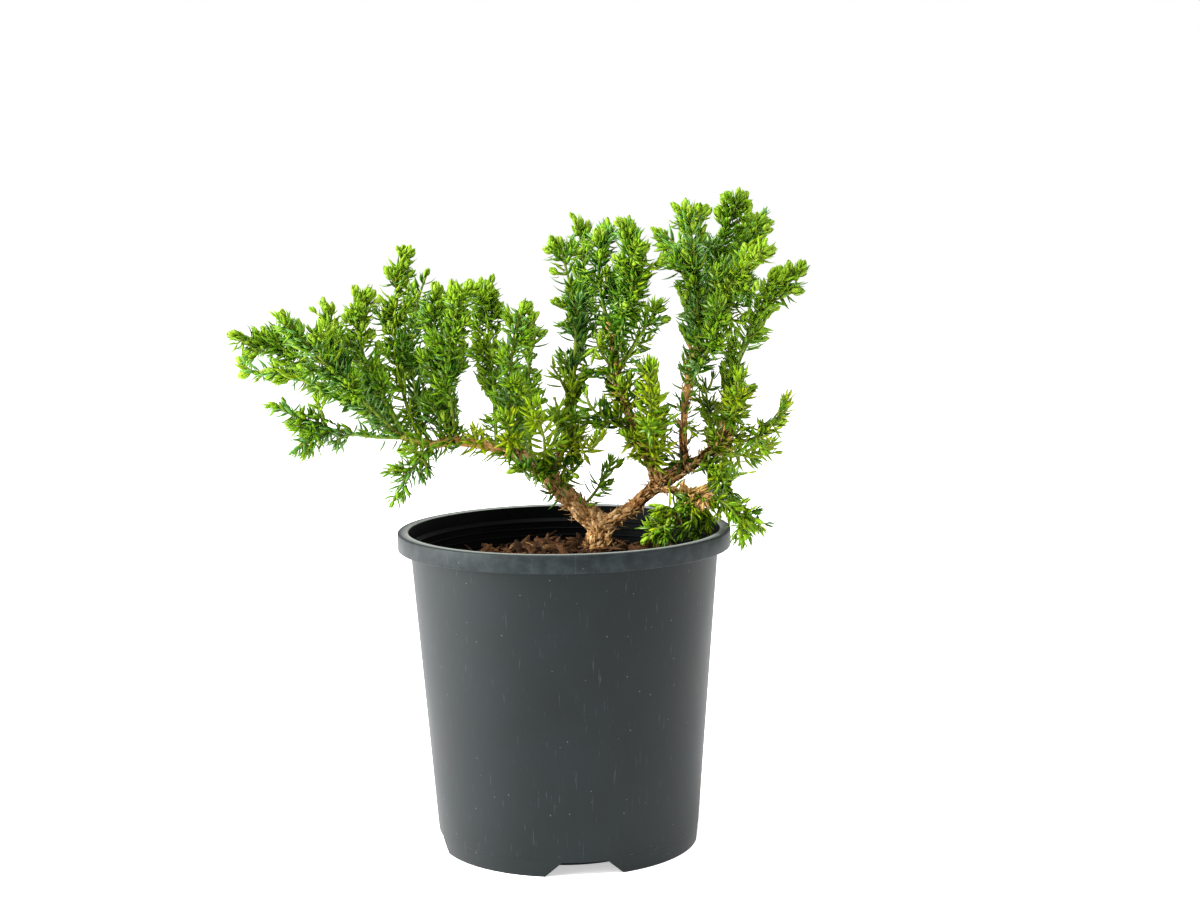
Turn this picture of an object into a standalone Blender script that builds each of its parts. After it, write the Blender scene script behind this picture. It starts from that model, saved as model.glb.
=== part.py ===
"""A young flaky juniper trained as a small bonsai, in its plain black nursery pot.

The pot stands on z = 0 with its axis on Z, +X is to the right of the view and -Y is towards it.
The trunk forks just above the bark mulch into a left and a right bough. Side boughs rise from
those, and every bough carries masses of needles. All lengths are in metres, and the tables give
millimetres, which are multiplied by MM.
"""

import math
import random

import bmesh
import bpy
import numpy as np

MM = 0.001
GAP = 0.3 * MM                  # clear space between two solids that meet

# Pot
POT_HEIGHT = 157.6 * MM
RIM_RADIUS = 82.5 * MM          # outside of the band round the rim
RIM_ROUND = 0.6 * MM
BAND_HEIGHT = 8.6 * MM
BAND_WALL = 1.4 * MM
LIP_THICKNESS = 1.8 * MM
LIP_INNER_RADIUS = 77.1 * MM
SHOULDER_RADIUS = 76.3 * MM     # outside of the wall under the band
BASE_RADIUS = 64.6 * MM         # outside of the wall at the ground
WALL = 1.5 * MM
FLOOR_LIFT = 7.5 * MM           # underside of the raised ring that drains
FOOT_RADIUS = 46.5 * MM         # flat middle of the floor, which stands on the ground
POT_SIDES = 40
NOTCH_COUNT = 4
NOTCH_TURN = math.radians(-82.5)
NOTCH_BOTTOM = 38.0 * MM
NOTCH_TOP = 22.0 * MM
NOTCH_HEIGHT = 7.2 * MM
NOTCH_DEPTH = 14 * MM           # of its cutter, across the wall
NOTCH_BELOW = 0.3               # how far its cutter goes on below the ground, as a share
DRAIN_RADIUS = 4.5 * MM
DRAIN_FROM_AXIS = 56.0 * MM

# Bark mulch
SOIL_DROP = 22.0 * MM           # from the rim's top to the mulch at the wall
MOUND_WIDTH = 34.0 * MM
MOUND_TOP = 1.25                # height of the mound before it is cut off level under the trunk
LEVEL_ROUND_TRUNK = 14.0 * MM
CHIP_RELIEF = 1.6 * MM
SOIL_RINGS = (1.0, 0.86, 0.70, 0.54, 0.38, 0.22)

# Limbs, each a list of (x, y, z, thickness) in millimetres from its foot to its tip
GROUND = 143.3                  # height in millimetres at which the trunk is cut flat
LIMBS = {
    "trunk": [(17, 10, GROUND, 17.2), (17, 10, 146.5, 14.2), (17.8, 10, 152, 12.2),
              (17.8, 10, 157.5, 12.6), (17.3, 10, 160.5, 9)],
    "bough_left": [(17, 10, 157.5, 11), (11.2, 9, 164, 10.2), (4.8, 7, 172.4, 9.4),
                   (-2.4, 3, 180.2, 8.8), (-8, 0, 186.8, 8.2), (-16.3, -3, 192, 6.6)],
    "bough_left_outer": [(-16.3, -3, 192, 6.6), (-28.4, -6, 197.5, 5.4), (-41.5, -8, 200.9, 4.8),
                         (-52.6, -9, 203.1, 4.8), (-63.8, -10, 200.9, 4.2),
                         (-75.4, -11, 204.2, 3.6), (-83.6, -11, 208.7, 3)],
    "bough_right": [(17.5, 10, 157, 9.4), (24.4, 9, 161, 8.2), (32, 7, 166.3, 7.2),
                    (38.5, 4, 172.6, 7), (45.8, 1, 179.2, 7.6), (52, 0, 182.5, 8.8),
                    (61.7, -1, 187.7, 6.2)],
    "bough_right_outer": [(61.7, -1, 187.7, 6.2), (68.7, 0, 191.5, 5.2), (75.8, 2, 196.6, 4.4),
                          (79.9, 3, 204.9, 3.6), (82, 4, 217.2, 3), (83.1, 4, 229.6, 2.6)],
    "bough_centre": [(46.4, 0, 180.3, 6), (41.9, -3, 193.2, 5.2), (35.2, -6, 208.5, 4.8),
                     (28.5, -6, 226.3, 4.6), (26.3, -5, 243.4, 4.2), (23.1, -4, 259.6, 3)],
    "bough_centre_left": [(-3.6, 1, 184, 4.6), (-1, 3, 196.1, 3.6), (1.5, 6, 204.7, 3.2),
                          (3.7, 8, 215.4, 3), (5.3, 10, 227.7, 3), (6, 11, 239.1, 2.4)],
    "bough_right_upright": [(60.4, -2, 187.2, 4.6), (59.2, -5, 201.1, 4), (59.8, -6, 216, 3.4),
                            (62.4, -5, 233.1, 3.4), (67, -3, 247.6, 3.4), (71.2, -1, 260.7, 2.6)],
    "twig_lower_right": [(45.7, -1, 177.5, 3.8), (51.5, -8, 176.8, 3), (58.1, -13, 176.4, 2.6),
                         (66.7, -18, 175.6, 2.2)],
}
SPRINGS_FROM = {                # each limb's foot is cut clear of these limbs
    "bough_left": ("trunk",),
    "bough_right": ("trunk", "bough_left"),
    "bough_centre": ("bough_right",),
    "bough_centre_left": ("bough_left",),
    "bough_right_upright": ("bough_right", "bough_right_outer"),
    "twig_lower_right": ("bough_right",),
}
CONTINUES = {"bough_left_outer": "bough_left", "bough_right_outer": "bough_right"}

# Masses of needles: limb, share of the way along it, a point half way up the mass's stem and the
# stem's tip in millimetres, reach of its side shoots in millimetres, share of the stem left bare
MASSES = {
    "left_low_spray": ("bough_left_outer", 0.88, (-112, -16, 210), (-140, -24, 226), 20, 0.20),
    "left_far_top": ("bough_left_outer", 1.00, (-117, -8, 237), (-162, -10, 257), 22, 0.08),
    "left_far_middle": ("bough_left_outer", 0.94, (-122, 18, 221), (-162, 26, 232), 18, 0.14),
    "left_front_fan": ("bough_left_outer", 0.94, (-109, -36, 241), (-130, -46, 268), 22, 0.14),
    "left_back_fan": ("bough_left_outer", 0.86, (-108, 30, 236), (-122, 46, 271), 22, 0.14),
    "left_shoulder": ("bough_left_outer", 0.85, (-94, -22, 244), (-98, -34, 280), 20, 0.12),
    "left_spire": ("bough_left_outer", 0.79, (-86, 4, 247), (-77, 4, 299), 20, 0.08),
    "left_back_tall": ("bough_left_outer", 0.73, (-77, 36, 244), (-68, 50, 286), 20, 0.14),
    "left_upright": ("bough_left_outer", 0.65, (-60, -14, 236), (-60, -24, 279), 20, 0.08),
    "left_inner_back": ("bough_left_outer", 0.52, (-53, 20, 239), (-56, 34, 281), 20, 0.12),
    "left_inner_front": ("bough_left_outer", 0.45, (-46, -26, 251), (-41, -36, 282), 18, 0.12),
    "left_heart": ("bough_left_outer", 0.24, (-35, 6, 241), (-35, 4, 279), 20, 0.10),
    "left_heart_front": ("bough_left_outer", 0.08, (-24, -22, 237), (-17, -30, 272), 18, 0.14),
    "left_heart_back": ("bough_left", 0.95, (-18, 34, 221), (-14, 52, 255), 18, 0.22),
    "left_bush": ("bough_left", 0.84, (-9, -22, 206), (-16, -36, 224), 15, 0.12),
    "left_bush_low": ("bough_left_outer", 0.16, (-24, -20, 204), (-29, -30, 220), 14, 0.12),
    "left_bush_right": ("bough_left", 0.90, (-3, -9, 206), (-4, -13, 226), 14, 0.12),
    "left_under_spray": ("bough_left_outer", 0.68, (-74, -15, 189), (-84, -18, 172), 13, 0.10),
    "left_under_tuft": ("bough_left", 0.76, (-19, -16, 183), (-27, -22, 182), 8, 0.14),
    "centre_left_spray": ("bough_centre_left", 1.00, (6, 18, 267), (-2, 24, 302), 20, 0.06),
    "centre_left_low": ("bough_centre_left", 0.52, (14, -4, 222), (20, -8, 240), 12, 0.12),
    "centre_left_back": ("bough_centre_left", 0.90, (11, 42, 263), (10, 50, 311), 20, 0.14),
    "centre_crown": ("bough_centre", 1.00, (19, -8, 284), (20, -10, 308), 20, 0.08),
    "centre_front": ("bough_centre", 0.90, (34, -32, 273), (38, -44, 303), 20, 0.12),
    "centre_back": ("bough_centre", 0.84, (32, 22, 274), (34, 30, 312), 20, 0.14),
    "centre_side": ("bough_centre", 0.70, (38, -12, 252), (50, -16, 272), 14, 0.14),
    "centre_bush_back": ("bough_centre", 0.14, (46, 18, 213), (46, 22, 238), 17, 0.16),
    "centre_bush_front": ("bough_centre", 0.10, (43, -25, 213), (41, -32, 241), 16, 0.16),
    "centre_low_left": ("bough_centre", 0.34, (21, -14, 213), (11, -22, 224), 14, 0.14),
    "centre_spray": ("bough_centre_left", 0.30, (12, -12, 197), (18, -22, 208), 10, 0.12),
    "fork_sprig": ("bough_left", 0.22, (19, 8, 179), (24, 6, 193), 7, 0.06),
    "right_heart": ("bough_right_upright", 0.55, (73, -22, 252), (78, -30, 274), 17, 0.12),
    "right_heart_back": ("bough_right_upright", 0.45, (57, 16, 251), (54, 24, 271), 15, 0.12),
    "right_middle_back": ("bough_right_outer", 0.48, (74, 20, 209), (72, 26, 232), 13, 0.12),
    "right_crown": ("bough_right_upright", 1.00, (77, 4, 288), (89, 6, 323), 20, 0.06),
    "right_crown_left": ("bough_right_upright", 0.80, (64, -18, 285), (62, -22, 317), 17, 0.10),
    "right_crown_outlier": ("bough_right_upright", 0.86, (62, 20, 288), (48, 28, 305), 14, 0.14),
    "right_crown_back": ("bough_right_upright", 0.95, (87, 34, 287), (104, 46, 312), 22, 0.14),
    "right_crown_front": ("bough_right_upright", 0.90, (84, -30, 281), (101, -42, 296), 22, 0.14),
    "right_far_spray": ("bough_right_outer", 1.00, (99, 2, 263), (120, -2, 284), 20, 0.06),
    "right_far_back": ("bough_right_outer", 0.88, (96, 28, 250), (112, 40, 264), 16, 0.14),
    "right_upright_front": ("bough_right_outer", 0.62, (85, -16, 218), (85, -22, 239), 15, 0.12),
    "right_low_spray": ("bough_right_outer", 0.42, (99, -8, 207), (111, -12, 224), 13, 0.10),
    "right_low_back": ("bough_right_outer", 0.28, (95, 26, 190), (109, 38, 197), 13, 0.16),
    "right_low_front": ("bough_right_outer", 0.14, (79, -16, 183), (86, -30, 189), 12, 0.14),
    "right_low_tuft": ("bough_right_outer", 0.16, (79, 9, 175), (87, 14, 163), 11, 0.12),
    "rim_spray_middle": ("twig_lower_right", 0.86, (69, -14, 165), (63, -22, 155), 12, 0.10),
    "rim_spray_right": ("twig_lower_right", 1.00, (83, -24, 174), (95, -26, 164), 12, 0.08),
    "rim_spray_left": ("twig_lower_right", 0.62, (54, -24, 165), (39, -34, 156), 11, 0.12),
}

# Openings in the crown that show the sky: middle x and z, half width and half height, in
# millimetres in the plane of the pot's axis, looked through from the view point
VIEW_POINT = np.array([18.3, -980.7, 312.4]) * MM
SKY_WINDOWS = [(-44, 223, 8, 15), (52, 236, 6, 17), (35, 189, 6, 12), (66, 204, 3, 11),
               (99, 240, 7, 12), (-47, 179, 17, 9), (-6, 256, 3, 10), (-134, 229, 11, 3.5)]

# Growth rule
WHORL_STEP = 6.5 * MM           # between two whorls of needles
NEEDLE = 10.5 * MM
NEEDLE_SPREAD = math.radians(52)
STEM_CORE = 1.45 * MM           # radius of a mass's stem where it starts
SHOOT_CORE = 1.15 * MM
BUD = 1.9 * MM                  # radius of the plump bud at a shoot's tip
SHOOT_STEP = 10.0 * MM          # between two side shoots along a stem
SHOOT_LEAST = 9.0 * MM
SHOOT_CLEAR = 2.2 * MM          # from a side shoot to wood that isn't its own
SHOOT_SIZES = (0.75, 1.15)      # least and most of a side shoot's length, as a share of the reach
SHOOT_FALL_OFF = 0.55           # how much shorter the side shoots at the stem's tip are
SHOOT_ANGLES = (44, 58)         # least and most degrees between a stem and its side shoots
TURN_AHEAD = 0.55               # how far a side shoot bends towards its stem's way
TURN_UP = 0.35                  # and upwards
SHOOT_BARE = 0.1                # share of a side shoot without needles
CORE_TAPER = 0.35
GOLDEN_TURN = math.radians(137.5)
LEAFY_FROM = 0.30               # share of a stem before the part that claims its own space
SPACE_GAP = 1.0 * MM            # between the spaces of two masses
NEEDLE_CLEAR = 1.3 * MM         # from a needle to wood that isn't its own
INTO_POT = 10.0 * MM            # how far below the rim needles may hang inside the pot
WELD = 0.0004 * MM              # corners this near are one
SEED = 7

PLASTIC = "34383B"
MULCH = "4A3226"
BARK = "8A6242"
GREEN = "4E8A2E"


def clear_scene():
    """Remove everything that the scene holds."""
    for item in list(bpy.data.objects):
        bpy.data.objects.remove(item, do_unlink=True)


def new_collection(name):
    """A collection of this name, linked to the scene."""
    collection = bpy.data.collections.new(name)
    bpy.context.scene.collection.children.link(collection)
    return collection


def linear(value):
    """One sRGB channel from 0 to 1 as linear light."""
    return value / 12.92 if value <= 0.04045 else ((value + 0.055) / 1.055) ** 2.4


def material(name, colour, roughness):
    """A Principled material of one sRGB colour, given as six hex digits."""
    made = bpy.data.materials.new(name)
    made.use_nodes = True
    shader = made.node_tree.nodes["Principled BSDF"]
    channels = [linear(int(colour[at:at + 2], 16) / 255) for at in (0, 2, 4)]
    shader.inputs["Base Color"].default_value = (*channels, 1)
    shader.inputs["Roughness"].default_value = roughness
    shader.inputs["Metallic"].default_value = 0.0
    return made


def place(name, mesh, finish, collection):
    """An object of this mesh, with its material, in a collection."""
    item = bpy.data.objects.new(name, mesh)
    mesh.materials.clear()
    mesh.materials.append(finish)
    collection.objects.link(item)
    return item


def hide_as_cutter(item):
    """Show a cutter as wire only."""
    item.display_type = "WIRE"
    item.hide_render = True


def subtract(item, cutter):
    """Cut one solid out of another."""
    cut = item.modifiers.new("cut_" + cutter.name, "BOOLEAN")
    cut.operation = "DIFFERENCE"
    cut.solver = "EXACT"
    cut.object = cutter


# Pot and mulch

def turned(name, profile, finish, collection):
    """A solid of revolution about Z from (radius, height) points that run down its outer side."""
    mesh = bpy.data.meshes.new(name)
    points = [(radius, 0, height) for radius, height in profile]
    edges = [(at, at + 1) for at in range(len(points) - 1)]
    mesh.from_pydata(points, edges, [])
    item = place(name, mesh, finish, collection)
    screw = item.modifiers.new("turn", "SCREW")
    screw.steps = screw.render_steps = POT_SIDES
    screw.use_merge_vertices = True
    screw.merge_threshold = 0.01 * MM
    screw.use_smooth_shade = False
    return item


def wall_radius(height):
    """Outside radius of the pot's wall at a height, below the band."""
    share = height / (POT_HEIGHT - BAND_HEIGHT)
    return BASE_RADIUS + (SHOULDER_RADIUS - BASE_RADIUS) * share


def notch_prism(turn, collection):
    """The trapezoid cutter of one drainage notch in the foot of the wall."""
    shape = bmesh.new()
    bmesh.ops.create_cube(shape, size=1.0)
    for corner in shape.verts:
        below = corner.co.z < 0
        widening = (NOTCH_BOTTOM - NOTCH_TOP) * NOTCH_BELOW
        corner.co.x *= NOTCH_BOTTOM + widening if below else NOTCH_TOP
        corner.co.y = -BASE_RADIUS + corner.co.y * NOTCH_DEPTH
        corner.co.z = -NOTCH_HEIGHT * NOTCH_BELOW if below else NOTCH_HEIGHT
    mesh = bpy.data.meshes.new("notch_cutter")
    shape.to_mesh(mesh)
    shape.free()
    cutter = bpy.data.objects.new("notch_cutter", mesh)
    cutter.rotation_euler.z = turn
    collection.objects.link(cutter)
    hide_as_cutter(cutter)
    return cutter


def drain_cylinder(turn, collection):
    """The cutter of one drain hole through the raised ring of the floor."""
    shape = bmesh.new()
    bmesh.ops.create_cone(shape, cap_ends=True, segments=12, radius1=DRAIN_RADIUS,
                          radius2=DRAIN_RADIUS, depth=4 * WALL)
    mesh = bpy.data.meshes.new("drain_cutter")
    shape.to_mesh(mesh)
    shape.free()
    cutter = bpy.data.objects.new("drain_cutter", mesh)
    cutter.location = (DRAIN_FROM_AXIS * math.cos(turn), DRAIN_FROM_AXIS * math.sin(turn),
                       FLOOR_LIFT + WALL / 2)
    collection.objects.link(cutter)
    hide_as_cutter(cutter)
    return cutter


def make_pot(finish, parts, cutters):
    """The thin-walled pot with its hollow band, drained floor and four notches."""
    under_band = POT_HEIGHT - BAND_HEIGHT
    lip_under = POT_HEIGHT - LIP_THICKNESS
    profile = [
        (0, WALL),
        (FOOT_RADIUS - WALL, WALL),
        (FOOT_RADIUS + WALL, FLOOR_LIFT + WALL),
        (wall_radius(FLOOR_LIFT + WALL) - WALL, FLOOR_LIFT + WALL),
        (SHOULDER_RADIUS - WALL, under_band),
        (LIP_INNER_RADIUS - RIM_ROUND, under_band + WALL),
        (LIP_INNER_RADIUS, POT_HEIGHT - RIM_ROUND),
        (LIP_INNER_RADIUS + RIM_ROUND, POT_HEIGHT),
        (RIM_RADIUS - RIM_ROUND, POT_HEIGHT),
        (RIM_RADIUS, POT_HEIGHT - RIM_ROUND),
        (RIM_RADIUS, under_band),
        (RIM_RADIUS - BAND_WALL, under_band),
        (RIM_RADIUS - BAND_WALL, lip_under),
        (LIP_INNER_RADIUS + WALL, lip_under),
        (LIP_INNER_RADIUS + WALL - RIM_ROUND, under_band + WALL),
        (SHOULDER_RADIUS, under_band - GAP),
        (BASE_RADIUS, 0),
        (BASE_RADIUS - WALL, 0),
        (wall_radius(FLOOR_LIFT) - WALL, FLOOR_LIFT),
        (FOOT_RADIUS + 2.4 * WALL, FLOOR_LIFT),
        (FOOT_RADIUS, 0),
        (0, 0),
    ]
    pot = turned("pot", profile, finish, parts)
    for count in range(NOTCH_COUNT):
        turn = count * 2 * math.pi / NOTCH_COUNT
        subtract(pot, notch_prism(turn + NOTCH_TURN + math.pi / 2, cutters))
        subtract(pot, drain_cylinder(turn + NOTCH_TURN, cutters))
    return pot


def soil_height(x, y):
    """Height of the mulch, mounded towards the trunk and flat under it."""
    trunk_x, trunk_y, ground = (value * MM for value in LIMBS["trunk"][0][:3])
    away = math.hypot(x - trunk_x, y - trunk_y)
    edge = POT_HEIGHT - SOIL_DROP
    seat = ground - GAP
    rise = min(1.0, MOUND_TOP * math.exp(-(away / MOUND_WIDTH) ** 2))
    return edge + (seat - edge) * rise


def make_soil(finish, parts):
    """The bark mulch and root ball that fill the pot, with a rough mounded top."""
    edge = POT_HEIGHT - SOIL_DROP
    inner = wall_radius(edge) - WALL - GAP
    profile = [(inner * share, edge) for share in reversed(SOIL_RINGS)]
    profile = [(0, edge)] + profile + [
        (wall_radius(FLOOR_LIFT + WALL) - WALL - 2 * GAP, FLOOR_LIFT + WALL + GAP),
        (FOOT_RADIUS + WALL - GAP, FLOOR_LIFT + WALL + GAP),
        (FOOT_RADIUS - WALL - 2 * GAP, WALL + GAP),
        (0, WALL + GAP),
    ]
    blank = turned("soil", profile, finish, parts)
    mesh = bpy.data.meshes.new_from_object(blank.evaluated_get(bpy.context.evaluated_depsgraph_get()))
    chance = random.Random(SEED)
    trunk_x, trunk_y = (value * MM for value in LIMBS["trunk"][0][:2])
    for corner in mesh.vertices:
        x, y, z = corner.co
        if z > edge - 0.1 * MM:
            near_trunk = math.hypot(x - trunk_x, y - trunk_y) < LEVEL_ROUND_TRUNK
            at_wall = math.hypot(x, y) > inner * 0.95
            relief = 0 if near_trunk or at_wall else chance.uniform(-1, 0.4) * CHIP_RELIEF
            corner.co.z = soil_height(x, y) + relief
    blank.modifiers.clear()
    blank.data = mesh
    return blank


# Limbs

def along(path, step):
    """The path's points again, spaced evenly by about one step."""
    lengths = np.linalg.norm(np.diff(path, axis=0), axis=1)
    reached = np.concatenate(([0.0], np.cumsum(lengths)))
    places = np.linspace(0.0, reached[-1], max(2, round(reached[-1] / step) + 1))
    return np.stack([np.interp(places, reached, column) for column in path.T], axis=1)


def limb_points(name, step=2 * MM):
    """Points and radii of a limb, spaced evenly."""
    table = along(np.array(LIMBS[name], float) * MM, step)
    return table[:, :3], table[:, 3] / 2


def tube(name, rows, grow, resolution):
    """A tapering tube mesh along rows of x, y, z and radius, its radius grown evenly."""
    curve = bpy.data.curves.new(name, "CURVE")
    curve.dimensions = "3D"
    curve.bevel_depth = 1.0
    curve.bevel_resolution = resolution
    curve.use_fill_caps = True
    spline = curve.splines.new("POLY")
    spline.points.add(len(rows) - 1)
    for point, (x, y, z, radius) in zip(spline.points, rows):
        point.co = (x, y, z, 1)
        point.radius = radius + grow
    item = bpy.data.objects.new(name, curve)
    bpy.context.scene.collection.objects.link(item)
    graph = bpy.context.evaluated_depsgraph_get()
    graph.update()
    mesh = bpy.data.meshes.new_from_object(item.evaluated_get(graph))
    bpy.data.objects.remove(item)
    bpy.data.curves.remove(curve)
    shape = bmesh.new()
    shape.from_mesh(mesh)
    bmesh.ops.remove_doubles(shape, verts=shape.verts, dist=0.01 * MM)
    bmesh.ops.recalc_face_normals(shape, faces=shape.faces)
    shape.to_mesh(mesh)
    shape.free()
    return mesh


def limb_rows(name):
    """A limb's own points as x, y, z and radius, its foot clear of the limb that it continues."""
    rows = [np.array(row, float) * MM for row in LIMBS[name]]
    for row in rows:
        row[3] /= 2
    if name in CONTINUES:
        onward = rows[1][:3] - rows[0][:3]
        before = np.array(LIMBS[CONTINUES[name]], float)[-2:, :3]
        back = before[1] - before[0]
        lean = np.linalg.norm(np.cross(onward, back)) / np.linalg.norm(onward) / np.linalg.norm(back)
        clear = GAP + rows[0][3] * lean
        rows[0][:3] += onward / np.linalg.norm(onward) * clear
    return rows


def make_limbs(finish, parts, cutters):
    """The trunk and boughs, each cut clear of what it springs from."""
    limbs = {}
    for name in LIMBS:
        sturdy = name in ("trunk", "bough_left", "bough_right")
        mesh = tube(name, limb_rows(name), 0.0, 3 if sturdy else 2)
        limbs[name] = place(name, mesh, finish, parts)
    parents = sorted({parent for group in SPRINGS_FROM.values() for parent in group})
    clearances = {}
    for name in parents:
        mesh = tube(name + "_clearance", limb_rows(name), GAP, 3)
        clearances[name] = bpy.data.objects.new(name + "_clearance", mesh)
        cutters.objects.link(clearances[name])
        hide_as_cutter(clearances[name])
    for name, group in SPRINGS_FROM.items():
        for parent in group:
            subtract(limbs[name], clearances[parent])
    return limbs


# Spaces of the masses

def stem_path(row):
    """A mass's stem from its limb's middle line to its tip, bowed through its half way point."""
    limb, share, half_way, tip = row[:4]
    points, _ = limb_points(limb)
    foot = points[round(share * (len(points) - 1))]
    tip = np.array(tip, float) * MM
    bow = 2 * np.array(half_way, float) * MM - (foot + tip) / 2
    step = np.linspace(0, 1, 30)[:, None]
    return along((1 - step) ** 2 * foot + 2 * step * (1 - step) * bow + step ** 2 * tip, 1 * MM)


def beyond_limbs(points):
    """Distance of each point to the nearest limb's surface, with the limbs' ends cut flat."""
    nearest = np.full(len(points), np.inf)
    for name in LIMBS:
        middle, radii = limb_points(name, 1 * MM)
        away = points[:, None] - middle[None]
        distance = np.linalg.norm(away, axis=2) - radii
        bulging = int(radii.max() / MM) + 1
        for end, inward, last_ones in ((0, 1, slice(0, bulging)), (-1, -2, slice(-bulging, None))):
            axis = middle[end] - middle[inward]
            axis = axis / np.linalg.norm(axis)
            past = away[:, end] @ axis
            aside = np.linalg.norm(away[:, end] - past[:, None] * axis, axis=1) - radii[end]
            flat = np.where(past > 0, np.hypot(past, np.maximum(aside, 0)), -np.inf)
            distance[:, last_ones] = np.maximum(distance[:, last_ones], flat[:, None])
        nearest = np.minimum(nearest, distance.min(axis=1))
    return nearest


def nearest_points(first, second):
    """The nearest points of two bodies that span these points, by steps towards corners."""
    here, there = first.mean(axis=0), second.mean(axis=0)
    for _ in range(300):
        between = here - there
        to_here = first[np.argmin(first @ between)] - here
        to_there = second[np.argmax(second @ between)] - there
        change = to_here - to_there
        size = change @ change
        if size < 1e-16:
            break
        share = min(1.0, max(0.0, -(between @ change) / size))
        here, there = here + share * to_here, there + share * to_there
    return here, there


def own_spaces(stems):
    """For each mass the planes that part it from every other mass, as normals and limits."""
    leafy = {name: path[int(len(path) * LEAFY_FROM)::3] for name, path in stems.items()}
    planes = {name: [] for name in stems}
    names = list(stems)
    for at, name in enumerate(names):
        for other in names[at + 1:]:
            here, there = nearest_points(leafy[name], leafy[other])
            normal = (there - here) / np.linalg.norm(there - here)
            middle = normal @ (here + there) / 2
            planes[name].append((*normal, middle - SPACE_GAP / 2))
            planes[other].append((*-normal, -middle - SPACE_GAP / 2))
    return {name: np.array(rows) for name, rows in planes.items()}


class Room:
    """What keeps one mass's shoots and needles to their own space."""

    def __init__(self, name, stems, spaces):
        self.planes = spaces[name]
        self.others = np.concatenate([path[::2] for other, path in stems.items() if other != name])

    def allows(self, points, clearance):
        """True for each point inside the space, clear of wood, pot and the sky windows."""
        held = (points @ self.planes[:, :3].T <= self.planes[:, 3]).all(axis=1)
        away = np.linalg.norm(points[:, None] - self.others[None], axis=2).min(axis=1)
        held &= away > clearance + STEM_CORE
        held &= beyond_limbs(points) > clearance
        height = points[:, 2]
        from_axis = np.hypot(points[:, 0], points[:, 1])
        rim = (from_axis > LIP_INNER_RADIUS - 2 * clearance) & (from_axis < RIM_RADIUS + clearance)
        held &= ~(rim & (height < POT_HEIGHT + clearance))
        held &= ~((from_axis < RIM_RADIUS) & (height < POT_HEIGHT - INTO_POT))
        sight = points - VIEW_POINT
        seen = VIEW_POINT + sight * (-VIEW_POINT[1] / sight[:, 1])[:, None]
        for x, z, half_width, half_height in SKY_WINDOWS:
            off = np.hypot((seen[:, 0] / MM - x) / half_width, (seen[:, 2] / MM - z) / half_height)
            held &= off > 1
        return held


# Masses of needles

def path_frames(path):
    """Unit directions along a path and two across it that don't twist."""
    ahead = np.gradient(path, axis=0)
    ahead /= np.linalg.norm(ahead, axis=1)[:, None]
    across = np.cross(ahead[0], (0.3, 1.0, 0.2))
    sides = []
    for direction in ahead:
        across = across - direction * (across @ direction)
        across = across / np.linalg.norm(across)
        sides.append(across)
    sides = np.array(sides)
    return ahead, sides, np.cross(ahead, sides)


def side_shoots(row, seed, stem, room):
    """Paths of a mass's side shoots, wound round its stem by the golden angle."""
    reach, bare = row[4] * MM, row[5]
    ahead, side, back = path_frames(stem)
    length = 1 * MM * (len(stem) - 1)
    start_turn = random.Random(seed).uniform(0, 2 * math.pi)
    shoots = []
    place_on_stem = max(bare * length, 6 * MM) + 2 * MM
    count = 0
    while place_on_stem < length - 5 * MM:
        chance = random.Random(seed * 1000 + count)
        share = place_on_stem / length
        at = round(share * (len(stem) - 1))
        turn = start_turn + count * GOLDEN_TURN
        size = reach * (1.05 - SHOOT_FALL_OFF * share) * chance.uniform(*SHOOT_SIZES)
        angle = math.radians(chance.uniform(*SHOOT_ANGLES))
        outward = side[at] * math.cos(turn) + back[at] * math.sin(turn)
        leave = ahead[at] * math.cos(angle) + outward * math.sin(angle)
        arrive = leave + TURN_AHEAD * ahead[at] + np.array([0, 0, TURN_UP])
        arrive /= np.linalg.norm(arrive)
        foot, knee = stem[at], stem[at] + leave * size / 2
        step = np.linspace(0, 1, 12)[:, None]
        path = ((1 - step) ** 2 * foot + 2 * step * (1 - step) * knee
                + step ** 2 * (knee + arrive * size / 2))
        path = along(path, 1 * MM)
        fits = room.allows(path, SHOOT_CLEAR)
        fits[:3] = True
        kept = len(path) if fits.all() else int(np.argmin(fits))
        if kept * MM > SHOOT_LEAST:
            shoots.append(path[:kept])
        place_on_stem += SHOOT_STEP
        count += 1
    return shoots


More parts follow.
